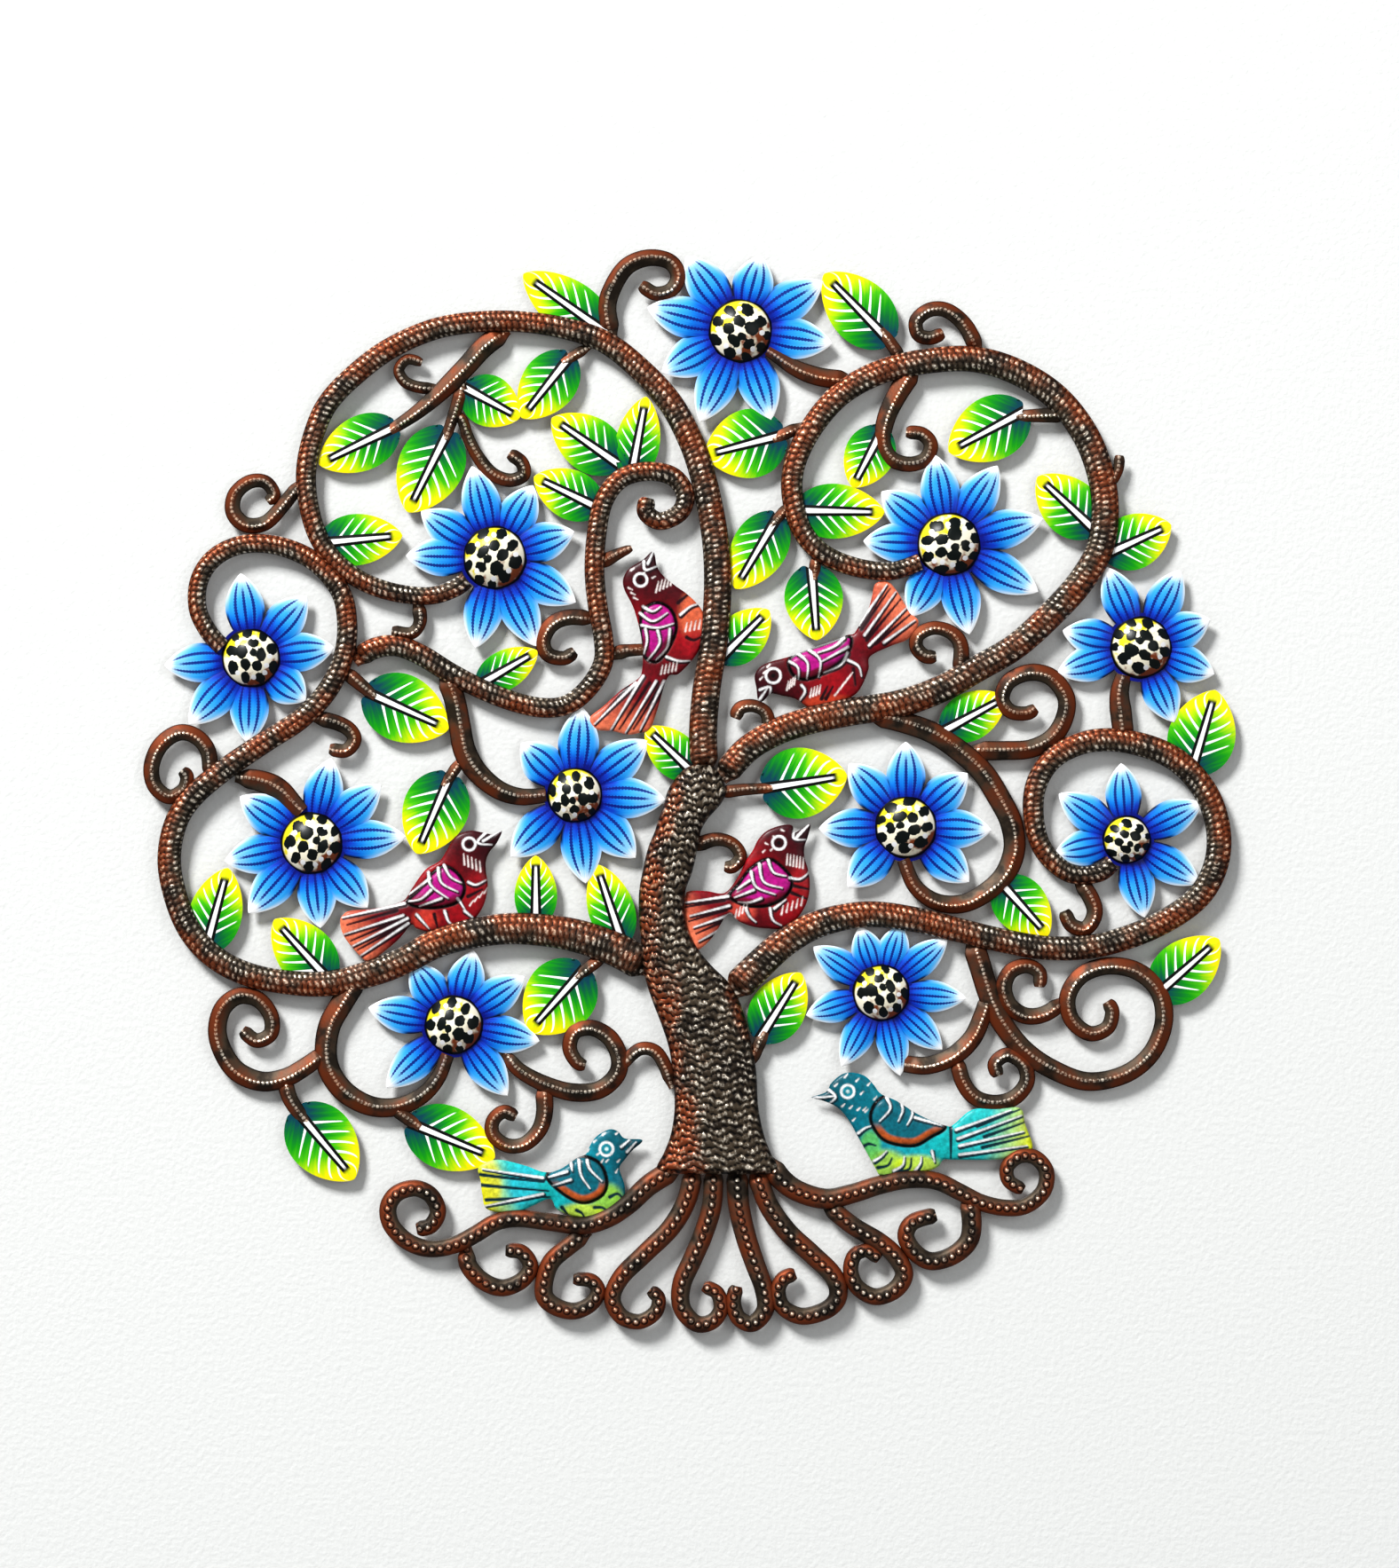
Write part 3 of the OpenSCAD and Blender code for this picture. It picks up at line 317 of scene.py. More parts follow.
# Bird outlines, colours and brush strokes. grounds are the body's colours from head to tail, patches
# are soft painted ovals [colour, x, z, radius x, radius z], wing is the wing's outline.
RED_GROUNDS = ("#340410", "#5A0614", "#A80C1C", "#6A0414", "#8A0C1C", "#FA8864")
TEAL_GROUNDS = ("#00505E", "#00788A", "#10A8B8", "#18C0C0", "#30C8C8", "#E0E820")
BIRDS = {
    "bird_1": dict(
        outline=[(-22, 142), (-20, 134), (-17, 129), (-10, 123), (-3, 118), (4, 111), (8, 103), (8, 96),
                 (5, 89), (0, 81), (-8, 73), (-14, 71), (-20, 52), (-24, 42), (-30, 40), (-36, 39),
                 (-45, 41), (-54, 42), (-58, 48), (-50, 55), (-40, 64), (-30, 71), (-28, 78),
                 (-28, 84), (-29, 95), (-33, 110), (-38, 120), (-39, 126), (-36, 132), (-30, 136),
                 (-27, 138)],
        grounds=RED_GROUNDS, ink_and_shadow="#2A0410",
        iris="#3A0812", pupil="#120205", along=((-28, 138), (-44, 42)),
        patches=[("#F07850", 1, 106, 9, 14), ("#B01424", 2, 90, 8, 9)],
        wing=[(-28, 108), (-20, 113), (-12, 109), (-9, 99), (-13, 88), (-20, 80), (-27, 83), (-29, 95)],
        wing_colours=("#C2188F", "#7A0A38"), eye=(-29.1, 125.9, 3.6),
        white=[
            ((-27.3, 136.4), (-26.4, 131.4), (-19.1, 134.1)), ((-25, 135), (-21.8, 142.3)),
            ((-27.7, 110.9), (-22.3, 108.2), (-17.7, 110.9)),
            ((-29.5, 107.3), (-22.3, 102.7), (-14.1, 107.3)),
            ((-28.6, 100.5), (-19.5, 99), (-10.5, 101.4)), ((-26.4, 98.2), (-25.5, 91.8), (-27.3, 84.5)),
            ((-19.5, 97.3), (-18.6, 90), (-25, 80.9)), ((-12.7, 98.2), (-14.1, 88.2), (-20.5, 80.9)),
            ((-6.8, 106.4), (-1, 111), (4.5, 112.7)), ((-14.5, 82.7), (-8, 80.5), (-1.4, 80.5)),
            ((-31.8, 68), (-55, 45)), ((-27.7, 72), (-46, 41.4)), ((-20.5, 69), (-37.7, 40)),
            ((-16, 69), (-29.5, 41.4))],
        hatches=[((-20.5, 119), (-12.3, 123), (1.5, 6), 5), ((-4, 97), (6, 99), (1, 5), 5),
                 ((-17.7, 73), (-9.5, 75), (1, 5), 5), ((-36, 121.5), (-33, 116), (2.4, -1.2), 3),
                 ((-34.5, 131.5), (-22.5, 127), (1.8, 1), 3)],
        dark=[((-8, 113), (-1, 119)), ((-4, 108), (4, 113)), ((-3.2, 93.6), (1, 92), (5.9, 94.5)),
              ((-36, 66), (-52, 48)), ((-24, 68), (-41, 42)), ((-18, 66), (-33, 42))]),
    "bird_2": dict(
        outline=[(37, 58), (36, 65), (35, 72), (38, 77), (44, 80), (55, 83), (68, 88), (80, 92),
                 (87, 95), (91, 96), (95, 103), (99, 110), (101, 117), (103, 124), (110, 125),
                 (116, 118), (122, 108), (127, 103), (125, 97), (120, 92), (112, 89), (100, 83),
                 (99, 76), (96, 68), (92, 62), (85, 58), (75, 54), (66, 54), (58, 59), (50, 61),
                 (44, 62), (40, 58)],
        grounds=RED_GROUNDS, ink_and_shadow="#2A0410",
        iris="#3A0812", pupil="#120205", along=((38, 64), (116, 112)),
        patches=[("#D85030", 78, 57, 17, 4.5), ("#7A0E20", 92, 80, 6, 9)],
        wing=[(54, 80), (60, 85), (72, 89), (88, 94), (88, 86), (82, 79), (73, 73), (64, 70), (57, 72)],
        wing_colours=("#C2188F", "#7A1030"), eye=(45.4, 72.1, 4.1),
        white=[
            ((37.9, 64.2), (43.8, 65.8), (42.9, 59.6)), ((37.5, 58.3), (42.1, 65)),
            ((54.6, 80), (59.2, 76.7), (59.6, 70.4)), ((59.2, 84.6), (64.6, 79.2), (64.2, 70.4)),
            ((65.4, 86.7), (71.7, 80.8), (70.8, 71.3)), ((85, 93.3), (79.2, 88.3), (70.4, 85)),
            ((87.5, 88.3), (80, 84.2), (72.5, 80)), ((87.1, 85), (83.3, 78.3), (73.8, 73.8)),
            ((61.3, 66.7), (63.3, 63.3), (60, 57.9)), ((87.5, 80.8), (93.3, 77.5), (95, 71.7)),
            ((93.3, 100.8), (109.2, 123.3)), ((96.7, 95), (114.2, 119.2)), ((99.2, 89.2), (120, 110)),
            ((107.5, 90.8), (125, 103.3))],
        hatches=[((53, 64), (57, 67), (1, 5), 4), ((66, 60), (71, 62), (1, 5), 4),
                 ((80, 61), (87, 70), (3, 4), 6), ((38, 70), (42, 77), (1.6, 1.6), 3)],
        dark=[((72.5, 59), (76, 66)), ((75, 59), (79, 66)), ((90.4, 75.8), (91.7, 66.7)),
              ((95, 98), (111, 121)), ((98, 92), (117, 115)), ((103, 90), (123, 107))]),
    "bird_3": dict(
        outline=[(-107, -15), (-112, -17), (-118, -16), (-125, -15), (-133, -18), (-138, -26),
                 (-142, -32), (-150, -37), (-158, -48), (-162, -54), (-170, -57), (-180, -59),
                 (-192, -60), (-196, -62), (-198, -66), (-196, -74), (-190, -82), (-184, -88),
                 (-180, -88), (-172, -82), (-165, -76), (-158, -68), (-155, -70), (-148, -72),
                 (-140, -71), (-130, -69), (-122, -64), (-117, -56), (-115, -46), (-116, -38),
                 (-116, -32), (-114, -27), (-110, -22)],
        grounds=RED_GROUNDS, ink_and_shadow="#2A0410",
        iris="#3A0812", pupil="#120205", along=((-114, -18), (-194, -74)),
        patches=[("#A81420", -121, -50, 7, 13), ("#E04838", -150, -65, 8, 6)],
        wing=[(-139, -35), (-131, -40), (-128, -48), (-132, -55), (-142, -58), (-153, -58),
              (-160, -55), (-153, -48), (-147, -40)],
        wing_colours=("#C2188F", "#8A1038"), eye=(-125.4, -22.5, 3.5),
        white=[
            ((-115.8, -15.8), (-120.8, -21.7), (-112.5, -22.9)), ((-117.5, -20.8), (-107.5, -14.6)),
            ((-125.8, -43.8), (-121.7, -45.4), (-116.3, -42.9)),
            ((-139.6, -34.2), (-135.8, -40.8), (-129.6, -44.2)),
            ((-142.9, -35.8), (-140.8, -44.2), (-131.7, -49.2)),
            ((-148.3, -38.3), (-146.7, -45.8), (-137.1, -52.9)), ((-147.5, -41.7), (-159.2, -50.8)),
            ((-146.7, -48.3), (-152.5, -53.3), (-159.2, -54.6)), ((-140.8, -52.9), (-153.3, -57.5)),
            ((-131.7, -53), (-128, -59)), ((-128, -60), (-122, -65)), ((-155, -62), (-148, -70)),
            ((-139.2, -60), (-137, -66), (-133.3, -68.8)), ((-161.7, -55.8), (-196.7, -63.8)),
            ((-162.5, -62.5), (-195.8, -73.3)), ((-160, -64.2), (-191.3, -80)),
            ((-159.6, -67.1), (-186.7, -85.4))],
        hatches=[((-128, -34), (-119, -38), (-0.5, 6), 5), ((-125, -57), (-117, -50), (2, 3), 4)],
        dark=[((-166, -60), (-194, -68)), ((-164, -65), (-192, -77)), ((-162, -68), (-188, -82)),
              ((-145, -62), (-143, -70)), ((-126, -52), (-118, -48))]),
    "bird_4": dict(
        outline=[(66, -11), (65, -18), (63, -24), (63, -30), (65, -37), (66, -45), (65, -53),
                 (62, -60), (57, -66), (50, -70), (42, -70), (34, -69), (26, -66), (20, -62),
                 (12, -74), (5, -81), (0, -82), (-2, -76), (-4, -68), (-5, -58), (-4, -52), (-2, -49),
                 (8, -49), (18, -50), (25, -42), (30, -32), (34, -26), (37, -20), (42, -15),
                 (50, -12), (56, -12), (58, -16)],
        grounds=RED_GROUNDS, ink_and_shadow="#2A0410",
        iris="#3A0812", pupil="#120205", along=((60, -14), (-3, -68)),
        patches=[("#B01C24", 60, -47, 6, 14), ("#E05848", 28, -60, 8, 6)],
        wing=[(43, -31), (52, -37), (56, -44), (52, -52), (42, -57), (30, -57), (21, -52), (26, -45),
              (33, -36)],
        wing_colours=("#C2188F", "#8A1038"), eye=(48.6, -21.8, 3.7),
        white=[
            ((57.9, -12.9), (56.8, -19.3), (63.6, -20)), ((58.6, -18.6), (65.7, -11.4)),
            ((54.6, -41.4), (60.4, -42.1), (65.4, -38.6)), ((46, -58.6), (52.5, -53.6)),
            ((43.6, -58.6), (45, -65), (50, -68.2)), ((30, -58.6), (32, -63), (35.7, -66.4)),
            ((42.5, -31.4), (45.4, -38.2), (52.5, -40.4)), ((37.5, -33.6), (40, -43.6), (50.4, -47.1)),
            ((32.9, -37.9), (35.7, -46.4), (46.4, -50.7)), ((32, -42.9), (25, -47.9)),
            ((34.3, -48.2), (23.6, -52.5)), ((38.6, -52.9), (31.4, -55.4), (25.7, -55)),
            ((20, -51.8), (-4, -55.4)), ((20.7, -57.1), (-1.4, -62.9)), ((21.4, -62.1), (0.7, -69.3)),
            ((24.3, -65.7), (3.6, -77.1))],
        hatches=[((53, -34), (62, -36), (0.4, 6), 6), ((50, -62), (61, -57), (1, 5), 5),
                 ((24, -64), (30, -60), (1, 5), 4), ((50, -14.5), (41, -22), (1.6, -0.8), 3),
                 ((44, -26), (39.6, -27), (1.2, 1.2), 2)],
        dark=[((57, -46), (65.5, -48)), ((56, -50), (64.5, -53.5)), ((18, -54), (-4, -58)),
              ((19, -59.5), (-2, -66)), ((22, -64), (2, -73))]),
    "bird_5": dict(
        outline=[(67, -165), (75, -162), (78, -157), (84, -152), (90, -151), (97, -153), (102, -158),
                 (106, -163), (115, -167), (128, -175), (143, -181), (147, -180), (157, -172),
                 (170, -171), (184, -171), (187, -180), (191, -194), (180, -198), (170, -200),
                 (147, -200), (141, -200), (138, -204), (130, -207), (115, -209), (106, -209),
                 (103, -205), (98, -196), (93, -187), (88, -178), (82, -171), (74, -167)],
        grounds=TEAL_GROUNDS, ink_and_shadow="#02303C",
        iris="#1890A0", pupil="#D8F0F0", along=((72, -163), (190, -184)),
        patches=[("#B8E020", 108, -202, 12, 8), ("#D8F000", 126, -203, 14, 6),
                 ("#70D060", 100, -192, 6, 9)],
        wing=[(100, -176), (103, -168), (110, -164), (122, -167), (132, -174), (142.5, -181),
              (134, -187), (124, -192), (110, -190), (103, -184)],
        wing_colours=("#0A7080", "#D06830"), eye=(87.2, -161.5, 3.6),
        white=[
            ((68, -165.5), (80.5, -164)), ((76.5, -160.5), (80.5, -164.5), (76, -169)),
            ((93, -185), (97, -182), (100, -181)), ((102, -200.5), (106, -198), (109, -195)),
            ((113, -206), (118, -203), (119, -198)), ((125, -206), (128, -202), (128.5, -198)),
            ((134.5, -195), (136, -201)), ((109, -165), (111, -171), (105, -178)),
            ((117, -167), (118, -172), (115.5, -178)), ((122.5, -169), (123.5, -174), (120.5, -180)),
            ((125, -176), (140, -180.5)), ((148, -183), (179, -172)), ((149, -188), (185, -175)),
            ((150, -192), (186, -184)), ((150, -197), (188, -192))],
        hatches=[((85.5, -153.5), (98.5, -158), (1.6, 1.6), 3), ((80, -158.5), (94.5, -163), (1.6, 1.6), 3),
                 ((84, -170), (97, -173), (1.6, 1.6), 4), ((90, -178), (102, -166), (1.6, 1.6), 3)],
        dark=[((95.5, -193), (99, -191), (103, -192)), ((104, -204.5), (110, -203), (112, -199)),
              ((116, -207), (122, -205), (123, -199)), ((145.2, -182), (145.2, -199)),
              ((160, -181), (184.5, -171.5)), ((164, -187), (186.5, -179)),
              ((163, -193), (190, -186.5))]),
    "bird_6": dict(
        outline=[(-28, -189), (-38, -188), (-42, -184), (-47, -183), (-54, -187), (-58, -193),
                 (-60, -197), (-65, -199), (-74, -205), (-83, -207), (-95, -203), (-110, -200),
                 (-120, -204), (-119, -212), (-118, -220), (-115, -228), (-100, -230), (-90, -226),
                 (-80, -222), (-76, -228), (-66, -232), (-56, -233), (-46, -230), (-39, -224),
                 (-38, -215), (-41, -205), (-38, -200), (-34, -195)],
        grounds=TEAL_GROUNDS, ink_and_shadow="#02303C",
        iris="#1890A0", pupil="#D8F0F0", along=((-34, -190), (-118, -216)),
        patches=[("#A8E030", -48, -222, 9, 9), ("#D8F000", -62, -229, 13, 5),
                 ("#30C8D8", -95, -214, 9, 12), ("#F0E820", -114, -214, 7, 14)],
        wing=[(-48, -212), (-52, -202), (-62, -198), (-72, -202), (-81.7, -208.8), (-74, -218),
              (-62, -224), (-51, -220)],
        wing_colours=("#0A7080", "#D06830"), eye=(-48.3, -193.8, 3.7),
        white=[
            ((-40, -192.5), (-35.4, -188.8)), ((-36.7, -195.4), (-31.7, -190)),
            ((-59.2, -200), (-57.5, -205), (-50.8, -211.7)),
            ((-63.8, -200), (-62.5, -208.3), (-57.5, -215.8)), ((-68.3, -201.7), (-67.5, -205.8)),
            ((-70.4, -206.3), (-80.8, -209.6)), ((-68.3, -210.8), (-78.3, -214.2)),
            ((-84, -210), (-118, -205)), ((-84, -219), (-117, -226))],
        hatches=[((-50.5, -186), (-43, -185.5), (1.6, 1.2), 2), ((-55.5, -190), (-53.5, -197), (1.6, 1.2), 2),
                 ((-48.5, -201), (-42, -201), (1.4, 1.4), 2), ((-59, -195.5), (-43, -207), (1, 1.8), 3)],
        dark=[((-46.3, -220.8), (-42, -219), (-38.8, -222)), ((-55, -226.7), (-50, -227), (-47.5, -230)),
              ((-65, -228.3), (-62, -230), (-60.8, -232.5)), ((-73.3, -226.7), (-70, -230.8)),
              ((-119.2, -208.3), (-83.3, -212.5)), ((-118.3, -214.2), (-80.8, -217.5)),
              ((-115.8, -222.5), (-80, -220.8))]),
}

# Dark blotches on a dome of radius DOME_DRAWN: dx, dz, width, height; and its white dots
DOME_DRAWN = 18.5
BLOTCHES = [
    (-4.2, 13.5, 6, 5), (7, 13.5, 7, 4.5), (-13, 9, 6, 4), (-1.5, 7, 7, 4.5), (5.3, 4, 5.5, 5),
    (12.7, 5, 5.5, 5), (-9, 2.7, 4.5, 5.5), (-3, 2.3, 4, 3.5), (-15.3, -0.8, 5, 5), (3.7, -3, 6, 5),
    (11.5, -4, 6, 4.5), (-4.2, -4.7, 7, 6), (-13, -8, 4, 4), (-5, -11, 6, 5.5), (5, -11, 7, 5.5),
]
DOTS = [(-7.5, 9.5), (0, 12), (5.5, 9.5), (9.8, 8), (-12.3, 3.2), (12, 1), (-10, -7), (-1.2, -11),
        (8.5, -8.5), (1, 1)]
# Tone of the relief on the back of a hammered piece, where nothing is rubbed
BACK_RELIEF = 0.3
# Flat tab, ramp up from it, and rounding of a free tip
TAB_LENGTH = 3
RAMP_LENGTH = 6
TIP_LENGTH = 3
# Length over which a strip widens from where it springs
START_TAPER = 8
# Gap between a stem's end and the dome that it meets
DOME_GAP = 0.3
# Petal shape: share of its length at its widest, its foot's width share, where the foot lies as a
# share of the dome's radius, how high it is dished, and where its side veins run across it
PETAL_BELLY = 0.45
PETAL_FOOT = 0.55
FOOT_SHARE = 0.7
PETAL_CUP = 1.7
VEIN_SHARE = 0.47
# Thickness given to the painted plates and to the birds
PLATE_SHEET = 0.9
BIRD_SHEET = 1.1
# Leaf shape: how fast it widens from its base and narrows to its tip
LEAF_BASE_POWER = 0.5
LEAF_TIP_POWER = 0.72


# ---------- sizes and colours ----------

def linear(code):
    """An sRGB hex colour as a linear value."""
    parts = [int(code[i:i + 2], 16) / 255 for i in (1, 3, 5)]
    return (*[c / 12.92 if c <= 0.04045 else ((c + 0.055) / 1.055) ** 2.4 for c in parts], 1.0)


def length_property(label, about, value):
    """A length for the panel, given in millimetres."""
    return bpy.props.FloatProperty(name=label, description=about, default=value * MM, unit="LENGTH")


def colour_property(label, about, code):
    """A colour for the panel, given as sRGB hex."""
    return bpy.props.FloatVectorProperty(name=label, description=about, default=linear(code),
                                         size=4, subtype="COLOR", min=0, max=1)


class TreeSizes(bpy.types.PropertyGroup):
    """Sizes of the pressed sheet steel"""
    sheet: length_property("Sheet", "Thickness of every sheet", 1.2)
    trunk_rise: length_property("Trunk relief", "Height of the trunk's relief", 8.5)
    limb_width: length_property("Limb width", "Width of the widest limb", 20)
    limb_rise: length_property("Limb relief", "Height of a limb's relief", 7)
    vine_width: length_property("Vine width", "Width of the widest vine", 13)
    vine_rise: length_property("Vine relief", "Height of a vine's ridge", 4.5)
    root_width: length_property("Root width", "Width of the widest root", 13)
    root_rise: length_property("Root relief", "Height of a root's relief", 5)
    petal_width: length_property("Petal width", "Width of a petal at its widest", 22)
    dome_rise: length_property("Dome height", "Height of a flower's centre", 9)
    bird_rise: length_property("Bird relief", "Height of a bird's raised body", 3.5)
    wing_rise: length_property("Wing boss", "Height of a wing's boss above the body", 2.5)


class TreeColours(bpy.types.PropertyGroup):
    """Colours of the patina and the paint"""
    copper: colour_property("Copper", "Copper wash on the outer flanks", "#84401F")
    # Copper glint: the rubbed copper tops, lightened further into a painted highlight
    copper_glint: colour_property("Copper glint", "Rubbed tops of the copper", "#FFC8A2")
    pewter: colour_property("Pewter", "Dark steel of the inner flanks", "#54483A")
    # Pewter glint: the rubbed steel tops, lightened further into a painted highlight
    pewter_glint: colour_property("Pewter glint", "Rubbed tops of the dark steel", "#FFF4E2")
    petal: colour_property("Petal blue", "Middle of a petal", "#0A80E4")
    petal_deep: colour_property("Deep blue", "Petal where it meets the dome", "#021284")
    petal_tip: colour_property("Petal tip", "Tip and edge of a petal", "#FFFFFF")
    leaf: colour_property("Leaf green", "Middle of a leaf", "#14A010")
    leaf_base: colour_property("Leaf base", "Lobes at the base of a leaf", "#004858")
    leaf_tip: colour_property("Leaf tip", "Tip of a leaf", "#FFF000")
    cream: colour_property("Cream", "Ground of a flower's centre", "#FFF8E0")
    wall: colour_property("Wall", "Wall behind the tree", "#E9EAE8")


def sizes():
    """The sizes in millimetres."""
    group = bpy.context.scene.tree_sizes
    return {name: getattr(group, name) / MM for name in TreeSizes.__annotations__}


def colours():
    """The colours as linear values."""
    group = bpy.context.scene.tree_colours
    return {name: tuple(getattr(group, name)) for name in TreeColours.__annotations__}


# ---------- lines and shapes ----------

def ease(v):
    """0 to 1, slow at both ends."""
    c = np.clip(v, 0, 1)
    return c * c * (3 - 2 * c)


def smooth_line(points, step, closed=False):
    """Evenly spaced points on the smooth line through the given ones."""
    chosen = np.array(points, float)
    count = len(chosen)
    index = np.arange(count if closed else count - 1)

    def shifted(by):
        where = (index + by) % count if closed else np.clip(index + by, 0, count - 1)
        return chosen[where][:, None, :]

    t = np.linspace(0, 1, 16, endpoint=False)[None, :, None]
    a, b, c, d = (shifted(by) for by in (-1, 0, 1, 2))
    fine = 0.5 * (2 * b + (c - a) * t + (2 * a - 5 * b + 4 * c - d) * t ** 2
                  + (3 * b - a - 3 * c + d) * t ** 3)
    fine = np.vstack([fine.reshape(-1, chosen.shape[1]), chosen[:1] if closed else chosen[-1:]])
    gone = np.concatenate([[0], np.cumsum(np.linalg.norm(np.diff(fine, axis=0), axis=1))])
    even = np.linspace(0, gone[-1], max(6, round(gone[-1] / step)) + 1)
    line = np.stack([np.interp(even, gone, column) for column in fine.T], 1)
    return line[:-1] if closed else line


def nearest(points, line, closed=False):
    """Distance from each point to a line, and how far along the line its nearest place is."""
    starts = line if closed else line[:-1]
    ends = np.roll(line, -1, axis=0) if closed else line[1:]
    best = np.full(len(points), 1e9)
    share = np.zeros(len(points))
    for i, (a, b) in enumerate(zip(starts, ends)):
        way = b - a
        t = np.clip((points - a) @ way / max(way @ way, 1e-12), 0, 1)
        gap = np.linalg.norm(points - a - t[:, None] * way, axis=1)
        closer = gap < best
        best = np.where(closer, gap, best)
        share = np.where(closer, (i + t) / len(starts), share)
    return best, share


def inside(points, outline):
    """True for the points inside a closed outline."""
    odd = np.zeros(len(points), bool)
    for a, b in zip(outline, np.roll(outline, -1, axis=0)):
        spans = (a[1] > points[:, 1]) != (b[1] > points[:, 1])
        rise = b[1] - a[1] if b[1] != a[1] else 1e-9
        cross = a[0] + (points[:, 1] - a[1]) * (b[0] - a[0]) / rise
        odd ^= spans & (points[:, 0] < cross)
    return odd


def grid_faces(rows, columns, wrap=False):
    """Quads of a grid of points, wrapped round into a tube if asked."""
    i = np.arange(rows - 1)[:, None]
    j = np.arange(columns if wrap else columns - 1)[None, :]
    after = (j + 1) % columns
    corners = [i * columns + j, (i + 1) * columns + j, (i + 1) * columns + after, i * columns + after]
    return np.stack(np.broadcast_arrays(*corners), -1).reshape(-1, 4).tolist()


def tube_faces(rows, ring):
    """Faces of a tube of rings, closed by a cap at each end."""
    faces = grid_faces(rows, ring, wrap=True)
    faces.append(list(range(ring)))
    faces.append([(rows - 1) * ring + j for j in reversed(range(ring))])
    return faces


class Shell:
    """Points [x, out, z], faces and per-point fields of one piece, gathered part by part."""

    def __init__(self):
        self.points, self.faces, self.fields = [], [], {}
        self.count = 0

    def add(self, points, faces, **fields):
        """Adds a part whose faces count from its own first point."""
        points = np.asarray(points, float).reshape(-1, 3)
        self.faces += [[v + self.count for v in face] for face in faces]
        self.points.append(points)
        for name, values in fields.items():
            self.fields.setdefault(name, []).append(np.asarray(values, float).reshape(len(points), -1))
        self.count += len(points)

    def piece(self, name, closed=True):
        """Makes the mesh, turned so that its faces point outwards, or to the front if open."""
        points = np.vstack(self.points)
        place = np.stack([points[:, 0], -points[:, 1], points[:, 2]], 1) * MM
        mesh = bpy.data.meshes.new(name)
        mesh.from_pydata(place.tolist(), [], self.faces)
        mesh.update()
        for field, parts in self.fields.items():
            values = np.vstack(parts)
            if field == "paint":
                layer = mesh.color_attributes.new(name=field, type="FLOAT_COLOR", domain="POINT")
                layer.data.foreach_set("color", np.hstack([values, np.ones((len(values), 1))]).ravel())
            elif field == "sheet_map":
                layer = mesh.uv_layers.new(name=field)
                corner = np.zeros(len(mesh.loops), int)
                mesh.loops.foreach_get("vertex_index", corner)
                layer.data.foreach_set("uv", values[corner].ravel())
            else:
                layer = mesh.attributes.new(field, "FLOAT", "POINT")
                layer.data.foreach_set("value", values.ravel())
        form = bmesh.new()
        form.from_mesh(mesh)
        facing = form.calc_volume(signed=True) if closed else -sum(f.normal.y * f.calc_area()
                                                                   for f in form.faces)
        if facing < 0:
            bmesh.ops.reverse_faces(form, faces=form.faces[:])
            form.to_mesh(mesh)
        form.free()
        made = bpy.data.objects.new(name, mesh)
        bpy.context.scene.collection.objects.link(made)
        return made


def select_only(piece):
    """Makes this the only selected piece, and the active one."""
    bpy.ops.object.select_all(action="DESELECT")
    piece.select_set(True)
    bpy.context.view_layer.objects.active = piece


def press(piece, thickness):
    """Gives an open sheet its thickness behind its front, and merges its poles."""
    select_only(piece)
    bpy.ops.object.mode_set(mode="EDIT")
    bpy.ops.mesh.select_all(action="SELECT")
    bpy.ops.mesh.remove_doubles(threshold=0.01 * MM)
    bpy.ops.object.mode_set(mode="OBJECT")
    bpy.ops.object.modifier_add(type="SOLIDIFY")
    wall = piece.modifiers[-1]
    wall.thickness = thickness * MM
    wall.offset = -1
    bpy.ops.object.modifier_apply(modifier=wall.name)


def place_piece(piece, node_name, material, crease=55):
    """Finishes a piece: its material, smooth shading, and the node it stands for."""
    piece.data.materials.clear()
    piece.data.materials.append(material)
    select_only(piece)
    bpy.ops.object.shade_smooth_by_angle(angle=math.radians(crease))
    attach(piece, "root")
    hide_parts(node_name)


# ---------- pressed strips ----------

def scales(gone, u, half):
    """Rows of skewed hammered scales, staggered and uneven: 1 on a scale's peak, 0 in a groove."""
    rows = np.where(half > 6.5, 5, 4)
    row = np.arccos(-np.clip(u, -1, 1)) / np.pi * rows
    step = np.floor(row)
    part = row - step
    along = (gone / SCALE_PITCH + 0.5 * (step % 2) + 0.35 * part + 0.3 * np.sin(gone / 9 + step * 2.1)
             + 0.16 * np.sin(gone / 3.1 + step * 1.3))
    beat = along - np.floor(along)
    peak = np.where(beat < 0.6, np.sin(np.pi / 2 * beat / 0.6), np.cos(np.pi / 2 * (beat - 0.6) / 0.4))
    uneven = 0.82 + 0.18 * np.sin(np.floor(along) * 5.3 + step * 2.7)
    bump = uneven * np.clip(peak, 0, 1) ** 0.8 * (1 - 0.6 * np.abs(2 * part - 1) ** 2.4)
    return bump, -1.1 * (1 - bump) * np.clip(1.2 - u ** 8, 0, 1)


def crest_beads(gone, u, half):
    """One row of round beads along a root's crest."""
    part = gone / BEAD_PITCH - np.floor(gone / BEAD_PITCH) - 0.5
    reach = np.hypot(part * BEAD_PITCH, u * half) / 1.6
    bead = np.sqrt(np.clip(1 - reach ** 2, 0, 1))
    moat = np.exp(-((reach - 1.15) / 0.25) ** 2)
    return 0.42 + 0.5 * bead ** 2 - 0.42 * moat, 1.0 * bead - 0.35 * moat


